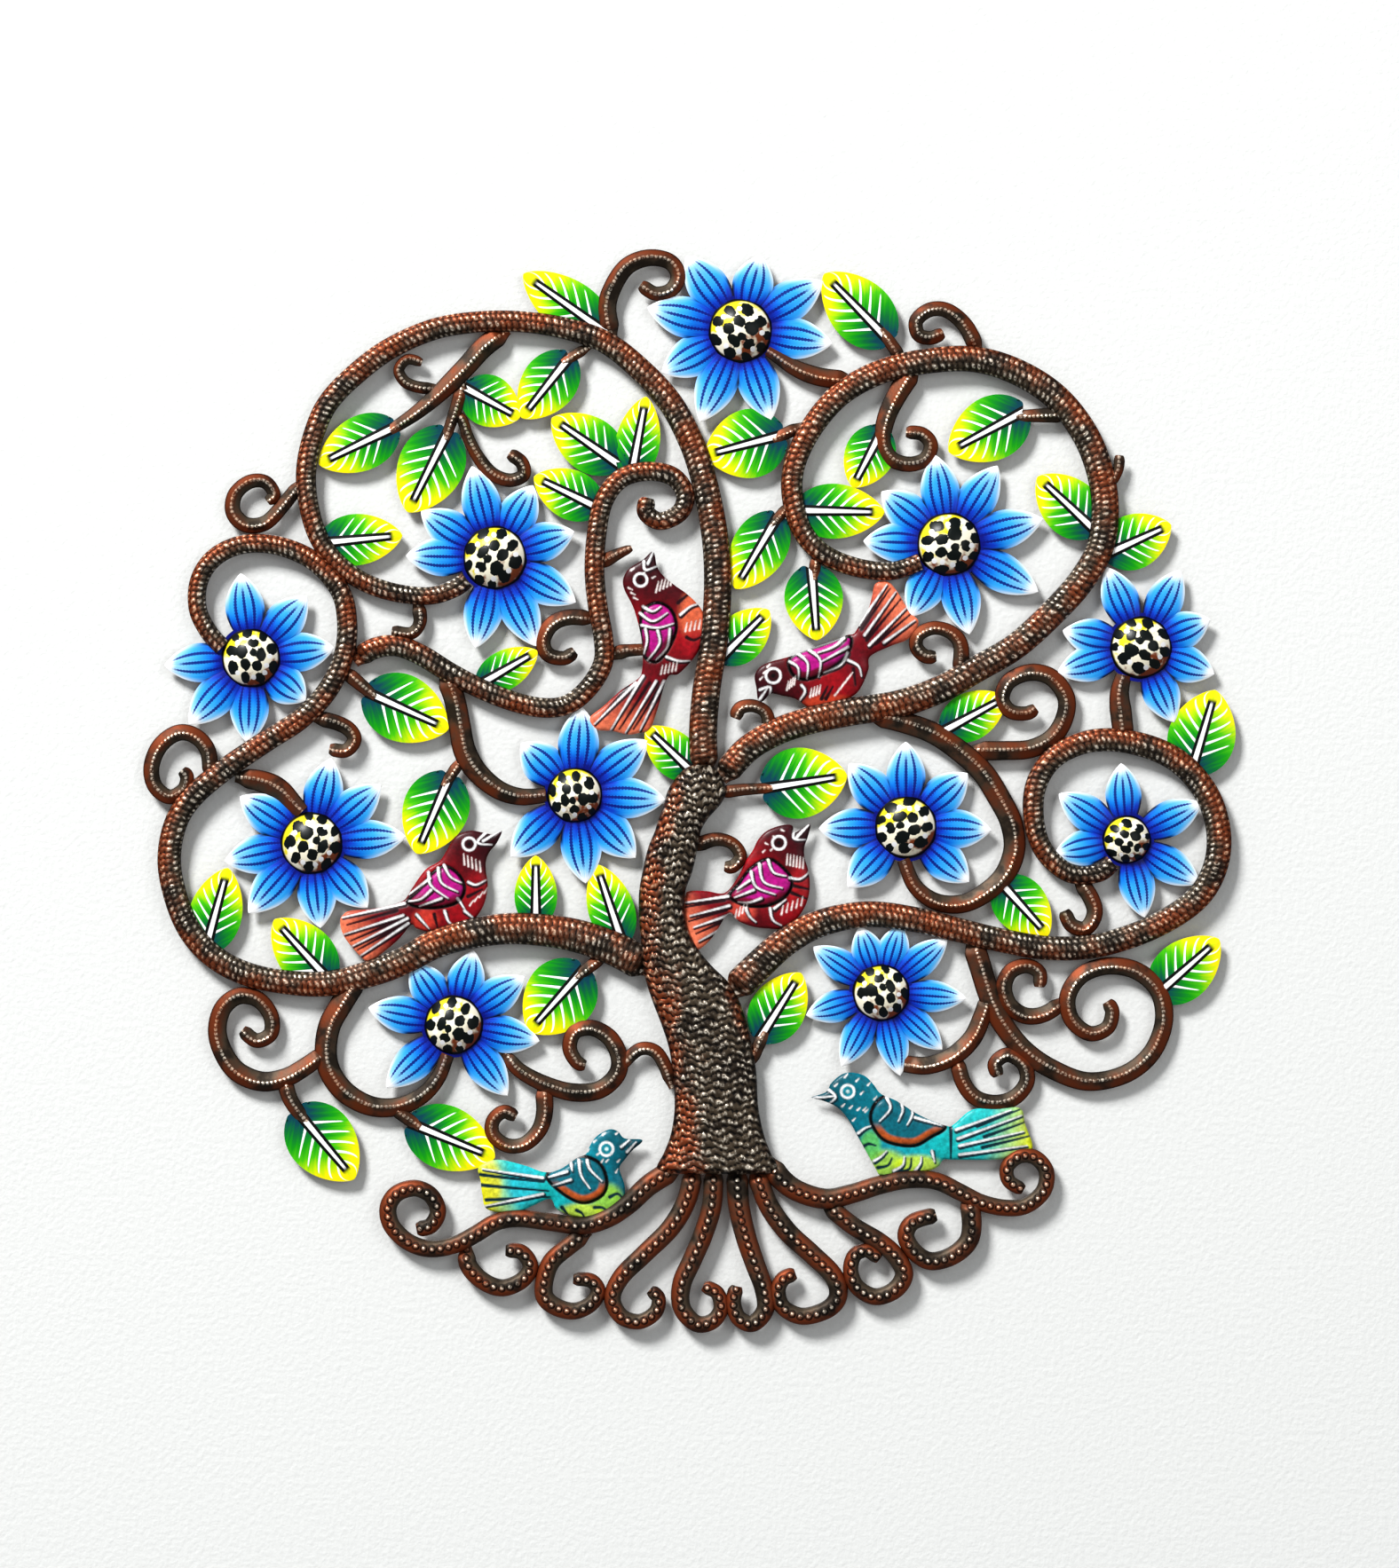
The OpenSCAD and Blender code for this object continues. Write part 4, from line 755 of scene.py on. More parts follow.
def crest_pearls(gone, u, half):
    """A row of small pressed pearls along a vine's ridge."""
    part = np.abs(2 * (gone / PEARL_PITCH - np.floor(gone / PEARL_PITCH)) - 1)
    reach = np.abs(u - RIDGE) * half / 1.15
    pearl = np.sqrt(np.clip(1 - reach ** 2, 0, 1)) * (1 - part ** 2.4)
    # The mark falls towards the vine's edges, which paints shade there
    return 0.4 + 0.6 * pearl - 0.25 * np.abs(u) ** 6, 0.55 * pearl - 0.15 * (reach < 1)


# Pitch of the scales along a limb, the beads along a root and the pearls along a vine
SCALE_PITCH = 3.5
BEAD_PITCH = 4.7
PEARL_PITCH = 2.4
# Where a vine's ridge stands across its width, as a share of half the width
RIDGE = 0.1
FAMILIES = {
    "limb": dict(width="limb_width", rise="limb_rise", step=0.8, front=37, back=7, marks=scales,
                 bend=42, profile=lambda u: np.clip(1 - u ** 2, 0, 1) ** 0.4),
    "root": dict(width="root_width", rise="root_rise", step=0.65, front=23, back=6,
                 marks=crest_beads, bend=16, profile=lambda u: np.clip(1 - u ** 2, 0, 1) ** 0.45),
    "vine": dict(width="vine_width", rise="vine_rise", step=0.6, front=17, back=5,
                 marks=crest_pearls, bend=16,
                 profile=lambda u: np.clip(1 - np.abs(u - RIDGE) / np.where(u > RIDGE, 1 - RIDGE,
                                                                            1 + RIDGE), 0, 1)),
}


def add_strip(shell, size, family, points, shares, finish, low, meets=None):
    """Adds one pressed strip: a hammered front and an open trough behind it."""
    make = FAMILIES[family]
    points = [np.array(p, float) * SHARE for p in points]
    if meets:
        flower, angle = FLOWERS[meets[0]], math.radians(meets[1])
        reach = flower[2] + DOME_GAP
        points.append(np.array(flower[:2]) * SHARE + reach * np.array([math.cos(angle), math.sin(angle)]))
    line = smooth_line(points, make["step"])
    ahead = np.gradient(line, axis=0)
    ahead /= np.linalg.norm(ahead, axis=1)[:, None]
    side = np.stack([-ahead[:, 1], ahead[:, 0]], 1)
    gone = np.linspace(0, 1, len(line)) * np.linalg.norm(np.diff(line, axis=0), axis=1).sum()
    away = gone[-1] - gone
    share = np.interp(gone / gone[-1], np.linspace(0, 1, len(shares)), shares)
    tip = 0.55 + 0.45 * np.sqrt(np.clip((away + 0.2) / TIP_LENGTH, 0, 1)) if finish == TIP else 1
    half = size[make["width"]] * share * tip / 2
    full = size[make["rise"]] * np.minimum(1, 0.35 + 0.65 * share) * tip
    half = half * (0.55 + 0.45 * ease(gone / START_TAPER))
    relief = ease((gone - TAB_LENGTH) / RAMP_LENGTH)
    if finish == TAB:
        relief = relief * ease((away - TAB_LENGTH) / RAMP_LENGTH)
    high = size["sheet"] + (full - size["sheet"]) * relief
    base = size["sheet"] * (low + (1 - low) * ease((gone - TAB_LENGTH) / RAMP_LENGTH))

    # the copper wash lies on the outside of each bend
    turn = np.unwrap(np.arctan2(ahead[:, 1], ahead[:, 0]))
    window = np.hanning(2 * int(make["bend"] / make["step"] / 2) + 3)
    bend = np.convolve(np.pad(np.gradient(turn, gone), len(window) // 2, mode="edge"),
                       window / window.sum(), mode="valid")
    outer = -np.tanh(bend * make["bend"] * 1.6)

    u = -np.cos(np.linspace(0, np.pi, make["front"]))
    if family == "vine":
        u = np.linspace(-1, 1, make["front"])
    mark, lift = make["marks"](gone[:, None], u[None, :], half[:, None])
    level = base[:, None] + high[:, None] * make["profile"](u)[None, :] + lift * relief[:, None]
    front_out = np.maximum(level, base[:, None])
    v = np.linspace(1, -1, make["back"])
    inner = np.maximum(half - size["sheet"], 0.2)
    behind = np.maximum(high - size["sheet"], 0)
    back_out = base[:, None] + behind[:, None] * make["profile"](v)[None, :]
    across = np.hstack([half[:, None] * u, inner[:, None] * v])
    out = np.hstack([front_out, back_out])
    points = np.stack([line[:, :1] + across * side[:, :1], out, line[:, 1:] + across * side[:, 1:]], -1)
    u_all = np.broadcast_to(np.concatenate([u, v]), across.shape)
    tone = 0.5 + 0.5 * u_all * outer[:, None]
    # The share across from the middle line sets the painted shade at the strip's edges
    shell.add(points, tube_faces(len(line), len(u) + len(v)),
              relief=np.hstack([mark, np.full(back_out.shape, BACK_RELIEF)]), tone=tone,
              lean=np.abs(u_all))


def add_trunk(shell, size):
    """The trunk: wavy rows of merged beads on a swelling relief, open behind."""
    rows = smooth_line([(z, left, right) for z, left, right in TRUNK], 0.6)
    z, left, right = (rows * SHARE).T
    wide = right - left
    middle = (left + right) / 2
    ends = np.sqrt(np.clip((z[0] - z) / 5 + 0.06, 0, 1)) * np.sqrt(np.clip((z - z[-1]) / 3 + 0.05, 0, 1))
    high = size["trunk_rise"] * np.minimum(1, 0.55 + wide / 60) * ends
    base = 2 * size["sheet"]
    u = np.sin(np.linspace(-1, 1, 81) * np.pi / 2 * 0.98) / math.sin(np.pi / 2 * 0.98)
    x = middle[:, None] + wide[:, None] / 2 * u
    row = (z[:, None] + 1.1 * np.sin(x / 2.1 + 2.2 * np.sin(z[:, None] / 7.5))
           + 1.2 * np.sin(x / 6.5 + 0.8 + z[:, None] / 23)) / TRUNK_ROW
    step = np.floor(row)
    along = (x / TRUNK_BEAD + 0.5 * (step % 2) + 0.4 * np.sin(step * 1.7 + x / 8)
             + 0.2 * np.sin(x / 2.3 + step))
    uneven = 0.8 + 0.2 * np.sin(np.floor(along) * 4.7 + step * 3.1)
    part = row - step + 0.13 * np.cos(2 * np.pi * along)
    mark = (np.clip(1 - np.abs(2 * part - 1) ** 2, 0, 1) * uneven
            * (1 - 0.4 * np.abs(2 * (along - np.floor(along)) - 1) ** 2))
    round_off = np.clip(1 - u ** 2, 0, 1) ** 0.35
    front_out = base + np.maximum(high[:, None] * round_off - 1.1 * (1 - mark) * ends[:, None], 0)
    v = np.linspace(1, -1, 15)
    inner = middle[:, None] + (wide[:, None] / 2 - size["sheet"]) * v
    behind = np.maximum(high - size["sheet"], 0)[:, None] * np.clip(1 - v ** 2, 0, 1) ** 0.35
    all_x = np.hstack([x, inner])
    out = np.hstack([front_out, base + behind])
    points = np.stack([all_x, out, np.broadcast_to(z[:, None], all_x.shape)], -1)
    left_wash = ease((0.15 - u[None, :] - 0.2 * np.sin(z[:, None] / 31)) / 1.1) * 0.9
    right_wash = (ease((u[None, :] - 0.55) / 0.4) * ease((z[:, None] + 140) / 12)
                  * ease((-98 - z[:, None]) / 8))
    wash = np.hstack([np.maximum(left_wash, right_wash), np.full(behind.shape, 0.2)])
    # The share across from the middle sets the painted shade at the trunk's edges
    shell.add(points, tube_faces(len(z), len(u) + len(v)),
              relief=np.hstack([mark, np.full(behind.shape, BACK_RELIEF)]), tone=wash,
              lean=np.broadcast_to(np.abs(np.concatenate([u, v])), all_x.shape))


# Height of a row of beads on the trunk, and the width of one bead
TRUNK_ROW = 4.2
TRUNK_BEAD = 3.3


# ---------- painted plates ----------

def petal_half(t):
    """Half width of a petal at share t of its length, against its widest."""
    belly = PETAL_FOOT + (1 - PETAL_FOOT) * np.sin(np.pi / 2 * np.clip(t / PETAL_BELLY, 0, 1))
    point = np.cos(np.pi / 2 * np.clip((t - PETAL_BELLY) / (1 - PETAL_BELLY), 0, 1)) ** 0.8
    return np.where(t < PETAL_BELLY, belly, point)


def add_petal(shell, size, flower, angle, reach, lap):
    """One cupped petal, mapped from its foot to its tip and across."""
    x, z, dome, wide, _ = flower
    foot = dome * FOOT_SHARE
    long = reach * SHARE - foot
    t = 1 - (1 - np.linspace(0, 1, 28)) ** 1.4
    q = np.linspace(-1, 1, 15)
    half = size["petal_width"] * wide / 2 * petal_half(t)
    across = half[:, None] * q
    along = np.broadcast_to(foot + long * t[:, None], across.shape)
    belly = np.sin(np.pi * np.clip(t, 0.02, 0.98)) ** 0.7
    cup = PETAL_CUP * (1 - q ** 2)[None, :] * belly[:, None]
    veins = np.exp(-(q / 0.07) ** 2) + np.exp(-((np.abs(q) - VEIN_SHARE) / 0.07) ** 2)
    out = size["sheet"] + 0.25 * lap + cup - 0.22 * veins[None, :] * belly[:, None]
    turn = math.radians(angle)
    px = x * SHARE + along * math.cos(turn) - across * math.sin(turn)
    pz = z * SHARE + along * math.sin(turn) + across * math.cos(turn)
    sheet_map = np.stack(np.broadcast_arrays(t[:, None], (q[None, :] + 1) / 2), -1)
    shell.add(np.stack([px, out, pz], -1), grid_faces(len(t), len(q)), sheet_map=sheet_map)


def add_collar(shell, size, flower):
    """The flat disc under a dome that joins the petals."""
    x, z, dome = flower[:3]
    spokes, rings = 48, 3
    angle = np.linspace(0, 2 * np.pi, spokes, endpoint=False)
    radius = np.linspace(dome * 0.55, dome + 1.5, rings)
    px = x * SHARE + radius[:, None] * np.cos(angle)
    pz = z * SHARE + radius[:, None] * np.sin(angle)
    sheet_map = np.tile((0.13, 0.5), (spokes * rings, 1))
    shell.add(np.stack([px, np.full(px.shape, size["sheet"] + 0.4), pz], -1),
              grid_faces(rings, spokes, wrap=True), sheet_map=sheet_map)


def leaf_half(t):
    """Half width of a leaf at share t of its length, with a heart-shaped base."""
    t = 0.035 + 0.965 * t
    peak = LEAF_BASE_POWER / (LEAF_BASE_POWER + LEAF_TIP_POWER)
    most = peak ** LEAF_BASE_POWER * (1 - peak) ** LEAF_TIP_POWER
    return t ** LEAF_BASE_POWER * (1 - t) ** LEAF_TIP_POWER / most


def add_leaf(shell, size, base, point, wide):
    """One leaf with a raised midrib and sprung side veins."""
    base, point = np.array(base) * SHARE, np.array(point) * SHARE
    long = np.linalg.norm(point - base)
    ahead = (point - base) / long
    side = np.array([-ahead[1], ahead[0]])
    t = (1 - np.cos(np.linspace(0, np.pi, 40))) / 2
    q = np.sin(np.linspace(-1, 1, 23) * np.pi / 2)
    half = wide / 2 * leaf_half(t)
    lobe = 3.2 * np.sin(np.pi * np.clip(np.abs(q), 0, 1) * 0.8)[None, :] * ((1 - t) ** 6)[:, None]
    along = long * t[:, None] - lobe
    across = half[:, None] * q
    rib = 0.75 * np.exp(-(across / 1.7) ** 2) * (1 - t[:, None]) ** 0.5
    spring = np.abs(np.sin(np.pi * LEAF_STROKES * (t[:, None] - STROKE_SLANT * np.abs(q)[None, :])))
    veins = 0.22 * (1 - spring) * (np.abs(q) > 0.08) * np.sin(np.pi * t[:, None])
    bend = 1.1 * (1 - np.abs(q) ** 1.6)[None, :] * np.sin(np.pi * np.clip(t, 0.03, 0.97))[:, None]
    out = size["sheet"] + bend + rib + veins
    place = base + along[..., None] * ahead + across[..., None] * side
    sheet_map = np.stack(np.broadcast_arrays(t[:, None], (q[None, :] + 1) / 2), -1)
    shell.add(np.stack([place[..., 0], out, place[..., 1]], -1), grid_faces(len(t), len(q)),
              sheet_map=sheet_map, across=across)


# White side strokes on a leaf, and how far they slant towards its tip
LEAF_STROKES = 7
STROKE_SLANT = 0.3


def make_dome(size, number, flower):
    """A pressed button: a sphere's cap cut with a plane and given its wall."""
    x, z, dome = flower[0] * SHARE, flower[1] * SHARE, flower[2]
    rise = size["dome_rise"]
    ball = (dome ** 2 + rise ** 2) / (2 * rise)
    rim = -size["sheet"] * MM
    centre = Vector((x * MM, rim + (ball - rise) * MM, z * MM))
    bpy.ops.object.select_all(action="DESELECT")
    bpy.ops.mesh.primitive_uv_sphere_add(segments=72, ring_count=64, radius=ball * MM,
                                         location=centre, rotation=(math.pi / 2, 0, 0))
    piece = bpy.context.active_object
    piece.name = f"dome_{number}_painted"
    bpy.ops.object.transform_apply(location=True, rotation=True, scale=True)
    bpy.ops.object.mode_set(mode="EDIT")
    bpy.ops.mesh.select_all(action="SELECT")
    bpy.ops.mesh.bisect(plane_co=(0, rim, 0), plane_no=(0, 1, 0), clear_outer=True)
    bpy.ops.object.mode_set(mode="OBJECT")
    press(piece, size["sheet"])
    mesh = piece.data
    place = np.zeros(len(mesh.vertices) * 3)
    mesh.vertices.foreach_get("co", place)
    place = place.reshape(-1, 3) / MM
    gap = (place[:, [0, 2]] - (x, z)) * DOME_DRAWN / dome
    spin = number * 2.4
    turned = gap @ np.array([[math.cos(spin), -math.sin(spin)], [math.sin(spin), math.cos(spin)]])
    spot = np.full(len(gap), -9.0)
    for dx, dz, w, h in BLOTCHES:
        reach = np.hypot((turned[:, 0] - dx) / (w / 2), (turned[:, 1] - dz) / (h / 2))
        spot = np.maximum(spot, 1 - reach)
    dot = np.full(len(gap), -9.0)
    for dx, dz in DOTS:
        dot = np.maximum(dot, 1 - np.hypot(turned[:, 0] - dx, turned[:, 1] - dz) / 1.7)
    # How far towards the upper left a point lies: it sets the painted highlight and painted shade on the dome
    lean = (gap @ np.array([-0.6, 0.8])) / DOME_DRAWN
    edge = np.linalg.norm(gap, axis=1) / DOME_DRAWN
    for name, values in (("spot", spot), ("dot", dot), ("lean", lean), ("edge", edge)):
        layer = mesh.attributes.new(name, "FLOAT", "POINT")
        layer.data.foreach_set("value", values)
    return piece


def stops(colours_in_order, share):
    """Colour at a share of the way through a row of hex colours."""
    row = np.array([linear(code)[:3] for code in colours_in_order])
    place = np.clip(share, 0, 1) * (len(row) - 1)
    low = np.minimum(place.astype(int), len(row) - 2)
    part = (place - low)[:, None]
    return row[low] * (1 - part) + row[low + 1] * part


def laid(paint, code, mask):
    """Paint laid over paint where the mask says."""
    mask = np.clip(mask, 0, 1)[:, None]
    return paint * (1 - mask) + np.array(linear(code)[:3]) * mask


def hatch_lines(hatches):
    """Short parallel brush strokes: first foot, last foot, stroke, count."""
    for first, last, stroke, count in hatches:
        for i in range(count):
            foot = np.array(first, float) + (np.array(last, float) - first) * i / max(count - 1, 1)
            yield foot, foot + np.array(stroke, float)


def add_bird(shell, size, bird):
    """A bird pressed from one sheet: raised body, wing boss and painted brush strokes."""
    grain = BIRD_GRAIN
    edge = smooth_line(np.array(bird["outline"], float) * SHARE, grain * 1.7, closed=True)
    low, high = edge.min(0), edge.max(0)
    field = [(x, z) for i, z in enumerate(np.arange(low[1], high[1], grain * 0.87))
             for x in np.arange(low[0] + (i % 2) * grain / 2, high[0], grain)]
    field = np.array(field)
    field = field[inside(field, edge)]
    field = field[nearest(field, edge, closed=True)[0] > grain * 0.7]
    flat = np.vstack([edge, field])
    ties = [(i, (i + 1) % len(edge)) for i in range(len(edge))]
    placed, _, faces, *_ = delaunay_2d_cdt([Vector(p) for p in flat], ties, [], 1, 1e-5)
    flat = np.array([tuple(p) for p in placed])
    gap = nearest(flat, edge, closed=True)[0]
    body = np.sqrt(np.clip(1 - (1 - np.clip(gap / 8, 0, 1)) ** 2, 0, 1))
    wing = smooth_line(np.array(bird["wing"], float) * SHARE, 0.8, closed=True)
    wing_gap = nearest(flat, wing, closed=True)[0]
    on_wing = inside(flat, wing)
    boss = np.where(on_wing, np.sqrt(np.clip(1 - (1 - np.clip(wing_gap / 5, 0, 1)) ** 2, 0, 1)), 0)
    moat = np.exp(-(wing_gap / 1.1) ** 2)
    out = size["sheet"] + (size["bird_rise"] - size["sheet"]) * body + size["wing_rise"] * boss - 0.5 * moat

    head, tail = (np.array(p, float) for p in bird["along"])
    way = tail - head
    share = (flat / SHARE - head) @ way / (way @ way)
    paint = stops(bird["grounds"], share)
    spot = flat / SHARE
    for code, x, z, rx, rz in bird["patches"]:
        reach = np.hypot((spot[:, 0] - x) / rx, (spot[:, 1] - z) / rz)
        paint = laid(paint, code, ease((1.25 - reach) / 0.6) * 0.8)
    inner, rim = bird["wing_colours"]
    paint = laid(paint, inner, on_wing * 1.0)
    lower = ease((wing[:, 1].mean() + 1 - flat[:, 1]) / 7)
    paint = laid(paint, rim, on_wing * lower * ease((5.2 - wing_gap) / 1.6))
    paint = laid(paint, "#0A0406", ease((1.3 - wing_gap) / 0.6))
    carve = np.zeros(len(flat))
    # Painted shadow: a wide dark stroke under each white stroke, set off down and to the right; the same dark
    # paint draws the dark strokes
    strokes = [(np.array(line) + (0.5, -0.9), bird["ink_and_shadow"], PAINTED_SHADOW_STROKE) for line in bird["white"]]
    strokes += [(line, bird["ink_and_shadow"], DARK_STROKE) for line in bird["dark"]]
    strokes += [(line, "#FFFFFF", WHITE_STROKE) for line in bird["white"]]
    strokes += [(line, "#FFF4F0", HATCH_STROKE) for line in hatch_lines(bird["hatches"])]
    for line, code, wide in strokes:
        line = smooth_line(line, 1.5)
        reach, part = nearest(spot, line)
        thin = wide * (1 - 0.55 * part) / 2
        mask = ease((thin + 0.3 - reach) / 0.6)
        paint = laid(paint, code, mask)
        carve = np.maximum(carve, mask)
    x, z, ring = bird["eye"]
    eye = np.hypot(spot[:, 0] - x, spot[:, 1] - z)
    paint = laid(paint, bird["iris"], ease((ring - eye) / 0.5))
    paint = laid(paint, "#FFFFFF", ease((1.0 - np.abs(eye - ring)) / 0.6))
    paint = laid(paint, bird["pupil"], ease((ring * 0.36 - eye) / 0.5))
    shell.add(np.stack([flat[:, 0], out - STROKE_DEPTH * carve, flat[:, 1]], -1), faces, paint=paint)


# Spacing of the points on a bird, widths of its brush strokes and of the painted shadow under each
# white stroke, and how deep they are pressed
BIRD_GRAIN = 0.62
WHITE_STROKE = 1.5
DARK_STROKE = 2.2
PAINTED_SHADOW_STROKE = 3.0
HATCH_STROKE = 1.05
STROKE_DEPTH = 0.18


# ---------- materials ----------

def node(tree, kind, values=None, out=0, stops_at=None, **settings):
    """Adds a node with its settings, sets or links its sockets, and gives back one output."""
    made = tree.nodes.new("ShaderNode" + kind)
    for name, value in settings.items():
        setattr(made, name, value)
    for key, value in (values or {}).items():
        if isinstance(value, bpy.types.NodeSocket):
            tree.links.new(value, made.inputs[key])
        else:
            made.inputs[key].default_value = value
    if stops_at:
        ramp = made.color_ramp
        while len(ramp.elements) < len(stops_at):
            ramp.elements.new(1.0)
        for stop, (where, colour) in zip(ramp.elements, stops_at):
            stop.position, stop.color = where, colour
    return made.outputs[out]


# Settings shared by nodes: a mix of two colours, and a step smoothed from 0 to 1
MIX = dict(out=2, data_type="RGBA")
STEP = dict(interpolation_type="SMOOTHSTEP")


def new_material(name):
    """A material with its tree and its shader."""
    made = bpy.data.materials.new(name)
    made.use_nodes = True
    return made, made.node_tree, made.node_tree.nodes["Principled BSDF"]


def grains_per_metre(millimetres):
    """The scale of a noise whose features are this wide."""
    return 1 / (millimetres * MM)


def hammered_steel(name, tints, gloss=0.36):
    """Sheet steel, hammered over a form, torch-browned, washed with copper on the outer flanks and
    rubbed back: near-black patina in the grooves, warm or pewter flanks, pale rubbed tops lit up
    further by a painted highlight, and painted shade darkening the edges of each strip."""
    made, tree, shader = new_material(name)
    place = node(tree, "TexCoord", out="Object")
    mark, tone, lean = (node(tree, "Attribute", out="Fac", attribute_name=kept)
                        for kept in ("relief", "tone", "lean"))
    patch, grit = (node(tree, "TexNoise", {"Vector": place, "Scale": grains_per_metre(across),
                                           "Detail": 4.0}) for across in (13, 1.5))
    drift = node(tree, "Math", {0: patch, 1: 1.6, 2: -0.85}, operation="MULTIPLY_ADD")
    wash = node(tree, "Math", {0: tone, 1: drift}, operation="ADD")
    wash = node(tree, "MapRange", {0: wash, 1: 0.15, 2: 0.85}, **STEP)
    base = node(tree, "Mix", {0: wash, 6: tints["pewter"], 7: tints["copper"]}, **MIX)
    soot = node(tree, "MapRange", {0: patch, 1: 0.5, 2: 0.36, 4: 0.65}, **STEP)
    base = node(tree, "Mix", {0: soot, 6: base, 7: linear("#140A06")}, **MIX)
    # Painted highlight: the high tops of the relief go to a pale glint, real rubbing lightened into a
    # highlight
    bright = node(tree, "Mix", {0: wash, 6: tints["pewter_glint"], 7: tints["copper_glint"]}, **MIX)
    wear_and_highlight = node(tree, "MapRange", {0: grit, 1: 0.34, 2: 0.62}, **STEP)
    wear_and_highlight = node(tree, "Math", {0: node(tree, "MapRange", {0: mark, 1: 0.5, 2: 0.92}, **STEP), 1: wear_and_highlight},
                operation="MULTIPLY")
    base = node(tree, "Mix", {0: wear_and_highlight, 6: base, 7: bright}, **MIX)
    # Near-black patina in the grooves; then painted shade, darkening each strip's edges where its round turns
    # down towards the wall
    for value, start, end, most, code in ((mark, 0.42, 0.08, 0.95, "#080302"),
                                          (lean, 0.84, 1.0, 0.7, "#0C0503")):
        share = node(tree, "MapRange", {0: value, 1: start, 2: end, 4: most}, **STEP)
        base = node(tree, "Mix", {0: share, 6: base, 7: linear(code)}, **MIX)
    rough = node(tree, "MapRange", {0: wear_and_highlight, 3: gloss + 0.12, 4: gloss - 0.08})
    bump = node(tree, "Bump", {"Height": grit, "Strength": 0.3, "Distance": 0.25 * MM})
    tree.links.new(base, shader.inputs["Base Color"])
    tree.links.new(rough, shader.inputs["Roughness"])
    tree.links.new(bump, shader.inputs["Normal"])
    shader.inputs["Metallic"].default_value = 0.6
    return made


def lacquered(tree, shader, base, place, height=0.0):
    """Finishes a paint: bare browned steel behind, brushed enamel under thin lacquer in front."""
    normal = node(tree, "NewGeometry", out="Normal")
    behind = node(tree, "SeparateXYZ", {0: normal}, out=1)
    behind = node(tree, "MapRange", {0: behind, 1: 0.25, 2: 0.6}, **STEP)
    blotch, grit = (node(tree, "TexNoise", {"Vector": place, "Scale": grains_per_metre(across),
                                            "Detail": 4.0}) for across in (9, 0.9))
    steel = node(tree, "Mix", {0: blotch, 6: linear("#1C1614"), 7: linear("#5A3A2A")}, **MIX)
    tree.links.new(node(tree, "Mix", {0: behind, 6: base, 7: steel}, **MIX), shader.inputs["Base Color"])
    lumps = node(tree, "Math", {0: grit, 1: height}, operation="ADD")
    bump = node(tree, "Bump", {"Height": lumps, "Strength": 0.2, "Distance": 0.2 * MM})
    tree.links.new(bump, shader.inputs["Normal"])
    shader.inputs["Roughness"].default_value = 0.42
    shader.inputs["Specular IOR Level"].default_value = 0.25
    shader.inputs["Coat Weight"].default_value = 0.12
    shader.inputs["Coat Roughness"].default_value = 0.2


def sheet_places(tree):
    """Where a point lies on a petal or leaf: how far from its foot, across it, and out from its
    middle line."""
    sheet = node(tree, "UVMap", uv_map="sheet_map")
    along, across = (node(tree, "SeparateXYZ", {0: sheet}, out=axis) for axis in (0, 1))
    side = node(tree, "Math", {0: across, 1: 2.0, 2: -1.0}, operation="MULTIPLY_ADD")
    return along, across, node(tree, "Math", {0: side}, operation="ABSOLUTE")


